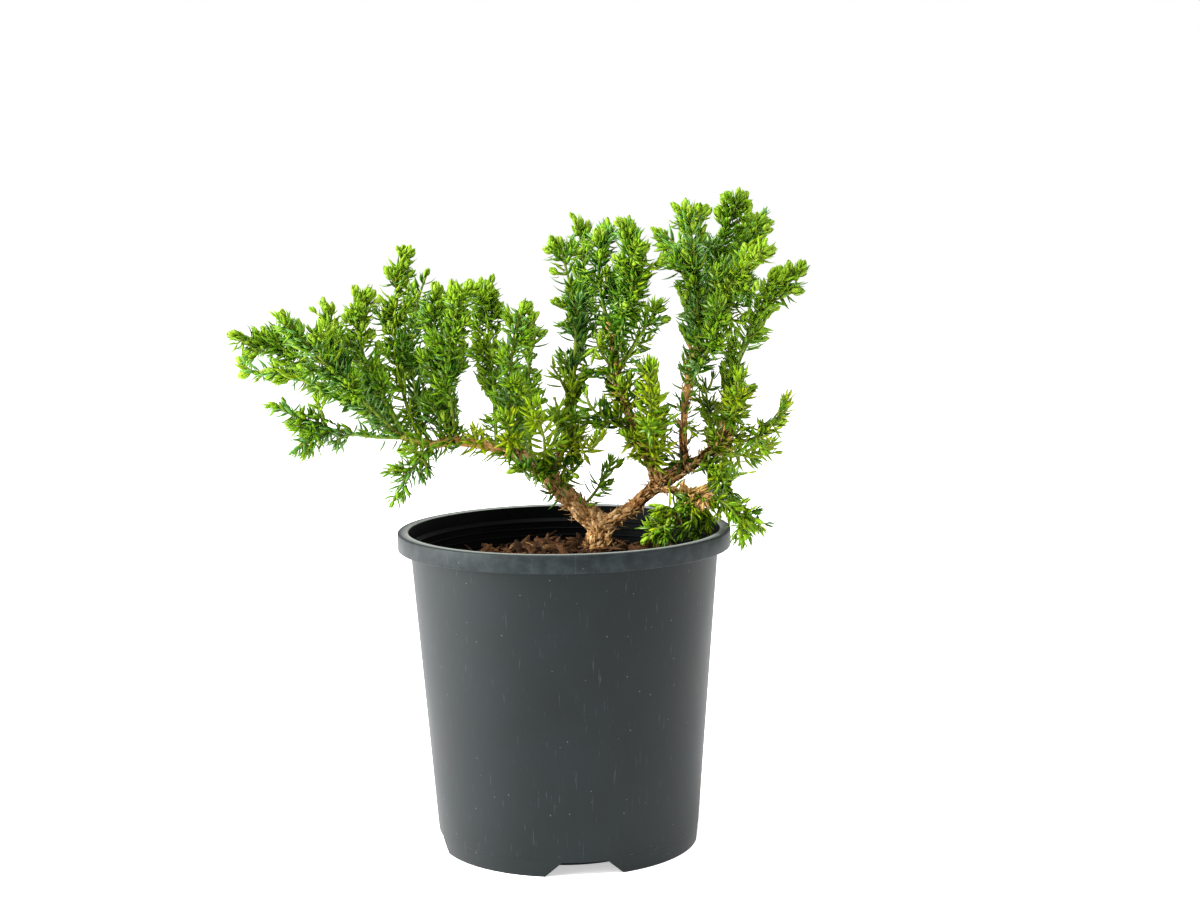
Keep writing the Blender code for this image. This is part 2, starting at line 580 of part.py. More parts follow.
def shoot_mesh(name, path, core, bare, room):
    """A slim three-sided core that tapers to a plump bud, with a whorl of needles at each step.

    Every ring is turned by a sixth against the one before, so that the faces between two rings
    are triangles. Those that stand on their broad side are drawn out into needles.
    """
    rings = along(path, WHORL_STEP)
    ahead, side, back = path_frames(rings)
    last = len(rings) - 1
    shape = bmesh.new()
    rows = []
    for at, middle in enumerate(rings[:-1]):
        share = at / last
        radius = BUD * 0.8 if at == last - 1 else core * (1 - CORE_TAPER * share)
        turns = [at * math.pi / 3 + third * 2 * math.pi / 3 for third in range(3)]
        rows.append([shape.verts.new(middle + radius * (side[at] * math.cos(turn)
                                                        + back[at] * math.sin(turn)))
                     for turn in turns])
    shape.faces.new(reversed(rows[0]))
    tip = shape.verts.new(rings[-1])
    for third in range(3):
        shape.faces.new((rows[-1][third], rows[-1][(third + 1) % 3], tip))
    for at in range(len(rows) - 1):
        lower, upper = rows[at], rows[at + 1]
        for third in range(3):
            following = (third + 1) % 3
            shape.faces.new((upper[third], lower[following], upper[following]))
            broad = shape.faces.new((lower[third], lower[following], upper[third]))
            if at / last < bare or at == 0:
                continue
            turn = at * math.pi / 3 + third * 2 * math.pi / 3 + math.pi / 3
            outward = side[at] * math.cos(turn) + back[at] * math.sin(turn)
            foot = np.array(broad.calc_center_median())
            point = foot + NEEDLE * (outward * math.sin(NEEDLE_SPREAD)
                                     + ahead[at] * math.cos(NEEDLE_SPREAD))
            corners = [np.array(corner.co) for corner in broad.verts]
            tests = np.array([point, (point + foot) / 2, *corners])
            if room.allows(tests, NEEDLE_CLEAR).all():
                poked = bmesh.ops.poke(shape, faces=[broad])
                poked["verts"][0].co = point
    mesh = bpy.data.meshes.new(name)
    shape.to_mesh(mesh)
    shape.free()
    return mesh


def start_clear(stem):
    """The stem without the part that lies in its limb, so that its flat foot is one gap clear."""
    stem = along(stem, 0.1 * MM)
    ahead, side, back = path_frames(stem)
    turns = np.arange(3)[:, None] * 2 * math.pi / 3
    at = 0
    while True:
        ring = stem[at] + STEM_CORE * (np.cos(turns) * side[at] + np.sin(turns) * back[at])
        if beyond_limbs(np.vstack([ring, stem[at:at + 1]])).min() > GAP:
            return along(stem[at:], 1 * MM)
        at += 1


def largest_body(mesh):
    """Keep the largest connected body of a mesh and drop loose scraps and sealed hollows.

    Returns whether what is left is closed, with two faces at every edge.
    """
    shape = bmesh.new()
    shape.from_mesh(mesh)
    bmesh.ops.remove_doubles(shape, verts=shape.verts, dist=WELD)
    bmesh.ops.triangulate(shape, faces=shape.faces)
    unseen = set(shape.verts)
    bodies = []
    while unseen:
        body, front = set(), [unseen.pop()]
        while front:
            corner = front.pop()
            body.add(corner)
            for edge in corner.link_edges:
                other = edge.other_vert(corner)
                if other in unseen:
                    unseen.remove(other)
                    front.append(other)
        bodies.append(body)
    bodies.sort(key=len)
    for body in bodies[:-1]:
        bmesh.ops.delete(shape, geom=list(body), context="VERTS")
    closed = all(len(edge.link_faces) == 2 for edge in shape.edges)
    shape.to_mesh(mesh)
    shape.free()
    return closed


def union_of(body, pieces, solver):
    """The mesh of a body joined with every object of a collection."""
    union = body.modifiers.new("join", "BOOLEAN")
    union.operation = "UNION"
    union.operand_type = "COLLECTION"
    union.collection = pieces
    union.solver = solver
    graph = bpy.context.evaluated_depsgraph_get()
    graph.update()
    mesh = bpy.data.meshes.new_from_object(body.evaluated_get(graph))
    body.modifiers.clear()
    return mesh


def make_mass(name, row, seed, stems, spaces, finish, parts):
    """One mass: its stem and side shoots, joined into one solid.

    Where neither solver closes it, the last side shoot is left out.
    """
    room = Room(name, stems, spaces)
    stem = start_clear(stems[name])
    body = bpy.data.objects.new(name, shoot_mesh(name, stem, STEM_CORE, row[5], room))
    parts.objects.link(body)
    pieces = new_collection(name + "_pieces")
    for count, path in enumerate(side_shoots(row, seed, stem, room)):
        piece_name = f"{name}_shoot_{count}"
        mesh = shoot_mesh(piece_name, path, SHOOT_CORE, SHOOT_BARE, room)
        piece = bpy.data.objects.new(piece_name, mesh)
        pieces.objects.link(piece)
    joined = None
    while joined is None and pieces.objects:
        for solver in ("EXACT", "MANIFOLD"):
            attempt = union_of(body, pieces, solver)
            if joined is None and largest_body(attempt):
                joined = attempt
        if joined is None:
            bpy.data.objects.remove(pieces.objects[-1], do_unlink=True)
    if joined is not None:
        body.data = joined
    body.data.materials.clear()
    body.data.materials.append(finish)
    for piece in list(pieces.objects):
        bpy.data.objects.remove(piece, do_unlink=True)
    bpy.data.collections.remove(pieces)
    return body


def main():
    clear_scene()
    parts = new_collection("flaky_juniper_bonsai")
    cutters = new_collection("cutters")
    make_pot(material("pot_plastic", PLASTIC, 0.5), parts, cutters)
    make_soil(material("bark_mulch", MULCH, 0.95), parts)
    make_limbs(material("juniper_bark", BARK, 0.9), parts, cutters)
    needles = material("juniper_needles", GREEN, 0.55)
    stems = {name: stem_path(row) for name, row in MASSES.items()}
    spaces = own_spaces(stems)
    for count, (name, row) in enumerate(MASSES.items()):
        make_mass(name, row, SEED + count, stems, spaces, needles, parts)


main()
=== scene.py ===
# %% [markdown]
# # A young flaky juniper in its nursery pot
#
# The plant is a spreading, needle-leaved juniper of a few years, trained as a small bonsai: a short
# flaky trunk that forks at the mulch, a handful of boughs, and dense sprays of prickly needles that
# end in soft lime-green buds. This file dresses a plain frame of solids. It gives the pot its moulded
# finish, the mulch its chips and the boughs their bark, and it grows the twigs and needles that are
# too fine for solids.

# %% Frame and units
import math
import random

import bpy
import numpy as np
from mathutils import Matrix, Vector, kdtree, noise


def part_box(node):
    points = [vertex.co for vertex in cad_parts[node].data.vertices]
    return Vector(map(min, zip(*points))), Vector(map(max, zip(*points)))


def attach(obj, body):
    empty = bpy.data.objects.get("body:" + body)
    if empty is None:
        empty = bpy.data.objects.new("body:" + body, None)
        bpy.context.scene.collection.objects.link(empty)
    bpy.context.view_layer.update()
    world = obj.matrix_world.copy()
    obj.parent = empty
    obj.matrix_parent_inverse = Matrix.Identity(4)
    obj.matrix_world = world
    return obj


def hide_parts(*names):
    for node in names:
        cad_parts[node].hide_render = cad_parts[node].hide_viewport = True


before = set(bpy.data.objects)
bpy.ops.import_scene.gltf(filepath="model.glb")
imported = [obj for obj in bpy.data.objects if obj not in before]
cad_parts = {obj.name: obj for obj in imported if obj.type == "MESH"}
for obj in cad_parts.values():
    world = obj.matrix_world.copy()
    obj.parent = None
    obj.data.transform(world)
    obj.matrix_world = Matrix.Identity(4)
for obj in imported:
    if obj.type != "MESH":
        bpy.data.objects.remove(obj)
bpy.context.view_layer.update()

MM = 0.001
BODY = "root"
scene = bpy.context.scene
scene.view_settings.view_transform = "Standard"
bpy.ops.object.select_all(action="DESELECT")
print("frame of", len(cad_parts), "nodes")


# %% [markdown]
# ## The view
#
# A product photo of a plant is taken from a little above the rim, with a long lens, so that the pot's
# sides stay nearly upright. Blender's camera looks along its own -Z, so its matrix is put together
# from the three directions that it should have: right, up and backwards.

# %% Camera
CAMERA_PLACE = Vector((0.0183, -0.9807, 0.3124))
CAMERA_PITCH = math.radians(6.76)
CAMERA_ROLL = math.radians(-0.79)
FOCAL_PX = 1997
IMAGE_WIDTH_PX = 1200
SENSOR_WIDTH = 36.0

camera_data = bpy.data.cameras.new("view")
camera_data.sensor_width = SENSOR_WIDTH
camera_data.lens = SENSOR_WIDTH * FOCAL_PX / IMAGE_WIDTH_PX
camera = bpy.data.objects.new("view", camera_data)
scene.collection.objects.link(camera)
level = Vector((1, 0, 0))
upward = Vector((0, math.sin(CAMERA_PITCH), math.cos(CAMERA_PITCH)))
forward = Vector((0, math.cos(CAMERA_PITCH), -math.sin(CAMERA_PITCH)))
camera_right = level * math.cos(CAMERA_ROLL) + upward * math.sin(CAMERA_ROLL)
camera_up = upward * math.cos(CAMERA_ROLL) - level * math.sin(CAMERA_ROLL)
turn = Matrix((camera_right, camera_up, -forward)).transposed().to_4x4()
camera.matrix_world = Matrix.Translation(CAMERA_PLACE) @ turn
scene.camera = camera
print("lens", round(camera_data.lens, 1), "mm")


# %% [markdown]
# ## Materials without pictures
#
# Every finish here is worked out by nodes. One function turns the usual hex colours into the linear
# light that shaders count in, and one adds a node with its settings and links, so that a material
# reads as a short recipe.

# %% Helpers for materials
def linear(colour):
    """Six hex digits of sRGB as linear red, green, blue and a full alpha."""
    channels = [int(colour[at:at + 2], 16) / 255 for at in (0, 2, 4)]
    return (*(c / 12.92 if c <= 0.04045 else ((c + 0.055) / 1.055) ** 2.4 for c in channels), 1.0)


def add_node(tree, kind, settings=None, values=None, links=None, stops=None):
    """One shader node: its properties, its sockets' values, what feeds them and a ramp's stops."""
    node = tree.nodes.new(kind)
    for name, value in (settings or {}).items():
        setattr(node, name, value)
    for socket, value in (values or {}).items():
        node.inputs[socket].default_value = value
    for socket, source in (links or {}).items():
        tree.links.new(source, node.inputs[socket])
    for at, (place, colour) in enumerate(stops or []):
        elements = node.color_ramp.elements
        element = elements[at] if at < 2 else elements.new(place)
        element.position = place
        element.color = linear(colour)
    return node


def new_material(name, colour, roughness, specular=0.5):
    """A Principled material and its node tree, shader and output of object coordinates."""
    made = bpy.data.materials.new(name)
    made.use_nodes = True
    tree = made.node_tree
    shader = tree.nodes["Principled BSDF"]
    shader.inputs["Base Color"].default_value = linear(colour)
    shader.inputs["Roughness"].default_value = roughness
    shader.inputs["Specular IOR Level"].default_value = specular
    coords = add_node(tree, "ShaderNodeTexCoord").outputs["Object"]
    return made, tree, shader, coords


def settle(piece, material, slot, *replaced):
    """Give a finished piece its material and its body, and hide the nodes that it stands for; the slot is not used."""
    piece.data.materials.clear()
    piece.data.materials.append(material)
    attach(piece, BODY)
    if replaced:
        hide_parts(*replaced)
    print(piece.name, len(piece.data.polygons), "faces")
    return piece


# %% [markdown]
# ## The pot
#
# A nursery pot is injection moulded from black polypropylene with a wall of about 1.5 mm. A skirt
# runs round its rim to stiffen it, fine ledges inside keep stacked pots apart, and its foot is
# notched so that water gets out. It could be a Screw modifier on a profile. Here it is turned as by
# hand: a disc for the floor, whose edge is extruded and scaled from one ring of the profile to the
# next, out under the floor, up the wall, over the lip and down the inside.

# %% Sizes of the pot
POT_LOW, POT_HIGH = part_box("pot")
POT_HEIGHT = POT_HIGH.z
RIM_RADIUS = POT_HIGH.x
BAND_HEIGHT = 8.6 * MM
BAND_WALL = 1.4 * MM
LIP_INNER_RADIUS = 77.1 * MM
SHOULDER_RADIUS = 76.3 * MM
BASE_RADIUS = 64.6 * MM
WALL = 1.5 * MM
FLOOR_LIFT = 7.5 * MM
FOOT_RADIUS = 46.5 * MM
POT_SIDES = 160
MOULD_LINE = 8.5 * MM
LEDGE_COUNT = 5
LEDGE_STEP = 3.6 * MM
LEDGE_DEPTH = 0.25 * MM
NOTCH_COUNT = 4
NOTCH_TURN = math.radians(-82.5)
NOTCH_BOTTOM = 38.0 * MM
NOTCH_TOP = 22.0 * MM
NOTCH_HEIGHT = 7.2 * MM
DRAIN_RADIUS = 4.5 * MM
DRAIN_FROM_AXIS = 56.0 * MM
UNDER_BAND = POT_HEIGHT - BAND_HEIGHT


def wall_radius(height):
    """Outside radius of the pot's wall at a height, below the band."""
    return BASE_RADIUS + (SHOULDER_RADIUS - BASE_RADIUS) * height / UNDER_BAND


def rounded(middle_radius, middle_height, size, first, last, count=4):
    """Points of an arc in the profile, from one angle in degrees to another."""
    turns = [math.radians(first + (last - first) * at / count) for at in range(count + 1)]
    return [(middle_radius + size * math.cos(t), middle_height + size * math.sin(t)) for t in turns]


# %% Profile of the pot, from the middle of the underside to the middle of the floor inside
EDGE = 0.7 * MM
profile = [(FOOT_RADIUS, 0), (FOOT_RADIUS + 2.4 * WALL, FLOOR_LIFT)]
profile += [(wall_radius(FLOOR_LIFT) - WALL, FLOOR_LIFT), (BASE_RADIUS - WALL, 0)]
profile += rounded(BASE_RADIUS - 0.4 * MM, 0.4 * MM, 0.4 * MM, -90, 0, 3)
profile += [(wall_radius(MOULD_LINE), MOULD_LINE), (wall_radius(MOULD_LINE) + 0.18 * MM, MOULD_LINE + 0.2 * MM)]
profile += [(SHOULDER_RADIUS, UNDER_BAND - 0.4 * MM)]
profile += [(LIP_INNER_RADIUS + WALL - EDGE, UNDER_BAND + 1.6 * MM)]
profile += [(LIP_INNER_RADIUS + WALL, POT_HEIGHT - 1.8 * MM)]
profile += [(RIM_RADIUS - BAND_WALL, POT_HEIGHT - 1.8 * MM), (RIM_RADIUS - BAND_WALL, UNDER_BAND)]
profile += rounded(RIM_RADIUS - 0.4 * MM, UNDER_BAND + 0.4 * MM, 0.4 * MM, -90, 0, 3)
profile += rounded(RIM_RADIUS - EDGE, POT_HEIGHT - EDGE, EDGE, 0, 90)
profile += rounded(LIP_INNER_RADIUS + EDGE, POT_HEIGHT - EDGE, EDGE, 90, 180)
inner_top = UNDER_BAND + 2 * MM
profile += [(LIP_INNER_RADIUS - 0.6 * MM, inner_top)]
for ledge in range(LEDGE_COUNT):
    height = inner_top - (ledge + 0.5) * LEDGE_STEP
    inner = min(LIP_INNER_RADIUS - 0.8 * MM, wall_radius(height) - WALL)
    profile += [(inner, height + 0.5 * MM), (inner - LEDGE_DEPTH, height + 0.2 * MM)]
    profile += [(inner - LEDGE_DEPTH, height - 0.2 * MM), (inner, height - 0.5 * MM)]
profile += [(wall_radius(FLOOR_LIFT + WALL) - WALL, FLOOR_LIFT + WALL)]
profile += [(FOOT_RADIUS + WALL, FLOOR_LIFT + WALL), (FOOT_RADIUS - WALL, WALL)]
print(len(profile), "rings")


# %% Turning the pot
def start_edit(piece, mode):
    """Select one object alone and enter edit mode with verts, edges or faces active."""
    bpy.ops.object.select_all(action="DESELECT")
    piece.select_set(True)
    bpy.context.view_layer.objects.active = piece
    bpy.ops.object.mode_set(mode="EDIT")
    bpy.ops.mesh.select_mode(type=mode)


def apply_modifiers(piece):
    """Apply a piece's modifiers in their order."""
    bpy.ops.object.select_all(action="DESELECT")
    piece.select_set(True)
    bpy.context.view_layer.objects.active = piece
    for modifier in list(piece.modifiers):
        bpy.ops.object.modifier_apply(modifier=modifier.name)


bpy.ops.mesh.primitive_circle_add(vertices=POT_SIDES, radius=profile[0][0], fill_type="NGON",
                                  location=(0, 0, 0))
pot = bpy.context.object
pot.name = "nursery_pot"
start_edit(pot, "EDGE")
bpy.ops.mesh.select_all(action="SELECT")
radius, height = profile[0]
for next_radius, next_height in profile[1:]:
    bpy.ops.mesh.extrude_edges_move(TRANSFORM_OT_translate={"value": (0, 0, next_height - height)})
    share = next_radius / radius
    bpy.ops.transform.resize(value=(share, share, 1), center_override=(0, 0, 0))
    radius, height = next_radius, next_height
bpy.ops.mesh.edge_face_add()
bpy.ops.mesh.select_all(action="SELECT")
bpy.ops.mesh.normals_make_consistent(inside=False)
bpy.ops.object.mode_set(mode="OBJECT")
print("pot", len(pot.data.vertices), "points")


# %% [markdown]
# The four notches and the drain holes are cut with Booleans, as the tool that moulds the real pot
# leaves them. A notch's cutter is a cube whose top is scaled narrower, so the notch is a trapezoid.

# %% Notches and drain holes
def cut(piece, cutter):
    """Cut a cutter out of a piece and remove the cutter."""
    modifier = piece.modifiers.new("cut", "BOOLEAN")
    modifier.operation = "DIFFERENCE"
    modifier.solver = "EXACT"
    modifier.object = cutter
    apply_modifiers(piece)
    bpy.data.objects.remove(cutter)


for count in range(NOTCH_COUNT):
    around = NOTCH_TURN + count * 2 * math.pi / NOTCH_COUNT
    middle = Vector((math.cos(around), math.sin(around), 0)) * BASE_RADIUS
    bpy.ops.mesh.primitive_cube_add(size=1, location=(0, 0, 0))
    cutter = bpy.context.object
    cutter.scale = (NOTCH_BOTTOM, 14 * MM, 2 * NOTCH_HEIGHT)
    bpy.ops.object.transform_apply(location=False, rotation=False, scale=True)
    for corner in cutter.data.vertices:
        widening = (NOTCH_BOTTOM - NOTCH_TOP) / NOTCH_BOTTOM
        corner.co.x *= 1 - widening if corner.co.z > 0 else 1 + widening
    cutter.location = middle
    cutter.rotation_euler.z = around + math.pi / 2
    cut(pot, cutter)
    hole = Vector((math.cos(around), math.sin(around), 0)) * DRAIN_FROM_AXIS
    hole.z = FLOOR_LIFT + WALL / 2
    bpy.ops.mesh.primitive_cylinder_add(vertices=32, radius=DRAIN_RADIUS, depth=4 * WALL, location=hole)
    cut(pot, bpy.context.object)
bpy.ops.object.select_all(action="DESELECT")
pot.select_set(True)
bpy.context.view_layer.objects.active = pot
bpy.ops.object.shade_smooth_by_angle(angle=math.radians(32))


# %% [markdown]
# Recycled black polypropylene is a charcoal grey with a satin skin. Broad soft lights show as dull
# glows near its edges, and handling leaves fine pale scratches that mostly run upright, and specks of
# dust. The scratches are noise stretched along Z until it is thread thin, and only its peaks count.

# %% Moulded polypropylene
def moulded_polypropylene():
    """Satin charcoal plastic with hair scratches and dust outside, matt and darker inside as painted shade."""
    made, tree, shader, coords = new_material("moulded_polypropylene", "0C1011", 0.5, 0.24)
    shader.inputs["Specular Tint"].default_value = linear("DCE4E2")
    stretched = add_node(tree, "ShaderNodeMapping", values={"Scale": (1, 1, 0.035)},
                         links={"Vector": coords}).outputs["Vector"]
    scratch = add_node(tree, "ShaderNodeTexNoise", values={"Scale": 1000, "Detail": 3, "Roughness": 0.6},
                       links={"Vector": stretched}).outputs["Fac"]
    cloud = add_node(tree, "ShaderNodeTexNoise", values={"Scale": 28, "Detail": 4},
                     links={"Vector": coords}).outputs["Fac"]
    dust = add_node(tree, "ShaderNodeTexVoronoi", values={"Scale": 170, "Randomness": 1},
                    links={"Vector": coords}).outputs["Distance"]
    lines = add_node(tree, "ShaderNodeMapRange",
                     values={"From Min": 0.64, "From Max": 0.78, "To Max": 0.5},
                     links={"Value": scratch}).outputs["Result"]
    specks = add_node(tree, "ShaderNodeMapRange",
                      values={"From Min": 0.06, "From Max": 0.03, "To Min": 0, "To Max": 0.35},
                      links={"Value": dust}).outputs["Result"]
    body = add_node(tree, "ShaderNodeValToRGB", links={"Fac": cloud},
                    stops=[(0.3, "05090A"), (0.7, "0B1113")]).outputs["Color"]
    scuffed = add_node(tree, "ShaderNodeMix", {"data_type": "RGBA"},
                       values={7: linear("3A4042")}, links={0: lines, 6: body}).outputs[2]
    dusty = add_node(tree, "ShaderNodeMix", {"data_type": "RGBA"},
                     values={7: linear("7C8082")}, links={0: specks, 6: scuffed}).outputs[2]
    # painted shade: the inside of the pot is mixed to near black and its shine is turned down
    inside = add_node(tree, "ShaderNodeAttribute", {"attribute_name": "painted_inner_shade"}).outputs["Fac"]
    # painted highlight: a pale line along the inner edge of the lip's top
    highlight_share = add_node(tree, "ShaderNodeAttribute", {"attribute_name": "lip_highlight"}).outputs["Fac"]
    blotch = add_node(tree, "ShaderNodeTexNoise", values={"Scale": 150, "Detail": 6, "Roughness": 0.75},
                      links={"Vector": coords}).outputs["Fac"]
    blotches = add_node(tree, "ShaderNodeMapRange",
                        values={"From Min": 0.42, "From Max": 0.70, "To Max": 0.16},
                        links={"Value": blotch}).outputs["Result"]
    band = add_node(tree, "ShaderNodeAttribute", {"attribute_name": "band_face"}).outputs["Fac"]
    fingered = add_node(tree, "ShaderNodeMath", {"operation": "MULTIPLY"},
                        links={0: blotches, 1: band}).outputs["Value"]
    handled = add_node(tree, "ShaderNodeMix", {"data_type": "RGBA"},
                       values={7: linear("4A5458")}, links={0: fingered, 6: dusty}).outputs[2]
    highlighted = add_node(tree, "ShaderNodeMix", {"data_type": "RGBA"},
                      values={7: linear("8A8E8A")}, links={0: highlight_share, 6: handled}).outputs[2]
    shaded = add_node(tree, "ShaderNodeMix", {"data_type": "RGBA"},
                      values={7: linear("020203")}, links={0: inside, 6: highlighted}).outputs[2]
    tree.links.new(shaded, shader.inputs["Base Color"])
    gloss = add_node(tree, "ShaderNodeMapRange", values={"To Min": 0.44, "To Max": 0.56},
                     links={"Value": cloud}).outputs["Result"]
    tree.links.new(gloss, shader.inputs["Roughness"])
    shine = add_node(tree, "ShaderNodeMapRange", values={"To Min": 0.22, "To Max": 0.06},
                     links={"Value": inside}).outputs["Result"]
    tree.links.new(shine, shader.inputs["Specular IOR Level"])
    skin = add_node(tree, "ShaderNodeBump", values={"Strength": 0.12, "Distance": 0.1 * MM},
                    links={"Height": scratch}).outputs["Normal"]
    tree.links.new(skin, shader.inputs["Normal"])
    return made


# painted shade: marks the inner wall and the floor inside, which the material darkens
painted_inner_shade = [float(math.hypot(corner.co.x, corner.co.y) < max(wall_radius(corner.co.z) - WALL / 2,
                                                              LIP_INNER_RADIUS * (corner.co.z > UNDER_BAND) + 0.1 * MM)
                   and corner.co.z > FLOOR_LIFT + WALL / 2) for corner in pot.data.vertices]
pot.data.attributes.new("painted_inner_shade", "FLOAT", "POINT").data.foreach_set("value", painted_inner_shade)
lip_middle = LIP_INNER_RADIUS + EDGE
# painted highlight: the inner half of the lip's top gets a pale line
lip_highlight = [0.8 * float(corner.co.z > POT_HEIGHT - 0.3 * MM
                         and math.hypot(corner.co.x, corner.co.y) < lip_middle + 0.1 * MM)
             for corner in pot.data.vertices]
pot.data.attributes.new("lip_highlight", "FLOAT", "POINT").data.foreach_set("value", lip_highlight)
band_face = [float(corner.co.z > UNDER_BAND and math.hypot(corner.co.x, corner.co.y) > lip_middle + 2 * MM)
             for corner in pot.data.vertices]
pot.data.attributes.new("band_face", "FLOAT", "POINT").data.foreach_set("value", band_face)
settle(pot, moulded_polypropylene(), "pot", "pot")


# %% [markdown]
# ## Joined meshes from arrays
#
# Chips, twigs and needles come in thousands. Adding each by hand would take hours, so one small shape
# is placed by arrays of numbers and all its copies are joined into one mesh. The function below takes
# all the points and all the triangles at once.

# %% A mesh from arrays
def mesh_piece(name, points, triangles):
    """An object from arrays of points and of triangles."""
    mesh = bpy.data.meshes.new(name)
    mesh.vertices.add(len(points))
    mesh.vertices.foreach_set("co", np.asarray(points, np.float32).ravel())
    mesh.loops.add(3 * len(triangles))
    mesh.loops.foreach_set("vertex_index", np.asarray(triangles, np.int32).ravel())
    mesh.polygons.add(len(triangles))
    mesh.polygons.foreach_set("loop_start", np.arange(0, 3 * len(triangles), 3, dtype=np.int32))
    mesh.update(calc_edges=True)
    piece = bpy.data.objects.new(name, mesh)
    scene.collection.objects.link(piece)
    return piece


def placed(template, faces, places, axes, sizes):
    """Copies of a template: its points, turned by (n, 3, 3) axes and scaled by (n, 3) sizes."""
    scaled = template[None] * sizes[:, None]
    points = np.einsum("nvi,nij->nvj", scaled, axes) + places[:, None]
    triangles = faces[None] + (np.arange(len(places)) * len(template))[:, None, None]
    return points.reshape(-1, 3), triangles.reshape(-1, 3)


# %% [markdown]
# ## The limbs, as tables
#
# The trunk and boughs repeat the frame's own rows: a place and a thickness in millimetres, from foot
# to tip. Everything that grows on them is worked out from these rows.

# %% Rows of the limbs
GROUND = 143.3
LIMBS = {
    "trunk": [(17, 10, GROUND, 17.2), (17, 10, 146.5, 14.2), (17.8, 10, 152, 12.2),
              (17.8, 10, 157.5, 12.6), (17.3, 10, 160.5, 9)],
    "bough_left": [(17, 10, 157.5, 11), (9.4, 9, 164, 10.2), (1.8, 7, 172.4, 9.4),
                   (-5.4, 3, 180.2, 8.8), (-10.4, 0, 186.8, 8.2), (-16.3, -3, 192, 6.6)],
    "bough_left_outer": [(-16.3, -3, 192, 6.6), (-28.4, -6, 197.5, 5.4), (-41.5, -8, 200.9, 4.8),
                         (-52.6, -9, 203.1, 4.8), (-63.8, -10, 200.9, 4.2),
                         (-75.4, -11, 204.2, 3.6), (-83.6, -11, 208.7, 3)],
    "bough_right": [(17.5, 10, 157, 9.4), (25, 9, 160.2, 7.6), (33, 7, 165.4, 6.4),
                    (39.5, 4, 171.8, 6.4), (46.4, 1, 178.6, 7.2), (52, 0, 182.2, 8.4),
                    (61.7, -1, 187.7, 6.2)],
    "bough_right_outer": [(61.7, -1, 187.7, 6.2), (68.7, 0, 191.5, 5.2), (75.8, 2, 196.6, 4.4),
                          (79.9, 3, 204.9, 3.6), (82, 4, 217.2, 3), (83.1, 4, 229.6, 2.6)],
    "bough_centre": [(46.4, 0, 180.3, 6), (41.9, -3, 193.2, 5.2), (35.2, -6, 208.5, 4.8),
                     (28.5, -6, 226.3, 4.6), (26.3, -5, 243.4, 4.2), (23.1, -4, 259.6, 3)],
    "bough_centre_left": [(-5.2, 1, 184, 4.6), (-1, 3, 196.1, 3.6), (1.5, 6, 204.7, 3.2),
                          (3.7, 8, 215.4, 3), (5.3, 10, 227.7, 3), (6, 11, 239.1, 2.4)],
    "bough_right_upright": [(60.4, -2, 187.2, 4.6), (59.2, -5, 201.1, 4), (59.8, -6, 216, 3.4),
                            (62.4, -5, 233.1, 3.4), (67, -3, 247.6, 3.4), (71.2, -1, 260.7, 2.6)],
    "twig_lower_right": [(45.7, -1, 177.5, 3.8), (51.5, -8, 176.8, 3), (58.1, -13, 176.4, 2.6),
                         (66.7, -18, 175.6, 2.2)],
}

# %% [markdown]
# Each mass of foliage starts at a share of the way along a limb. Its row gives a point half way up
# its stem and its tip, the reach of its side shoots and the share of the stem that is left bare.

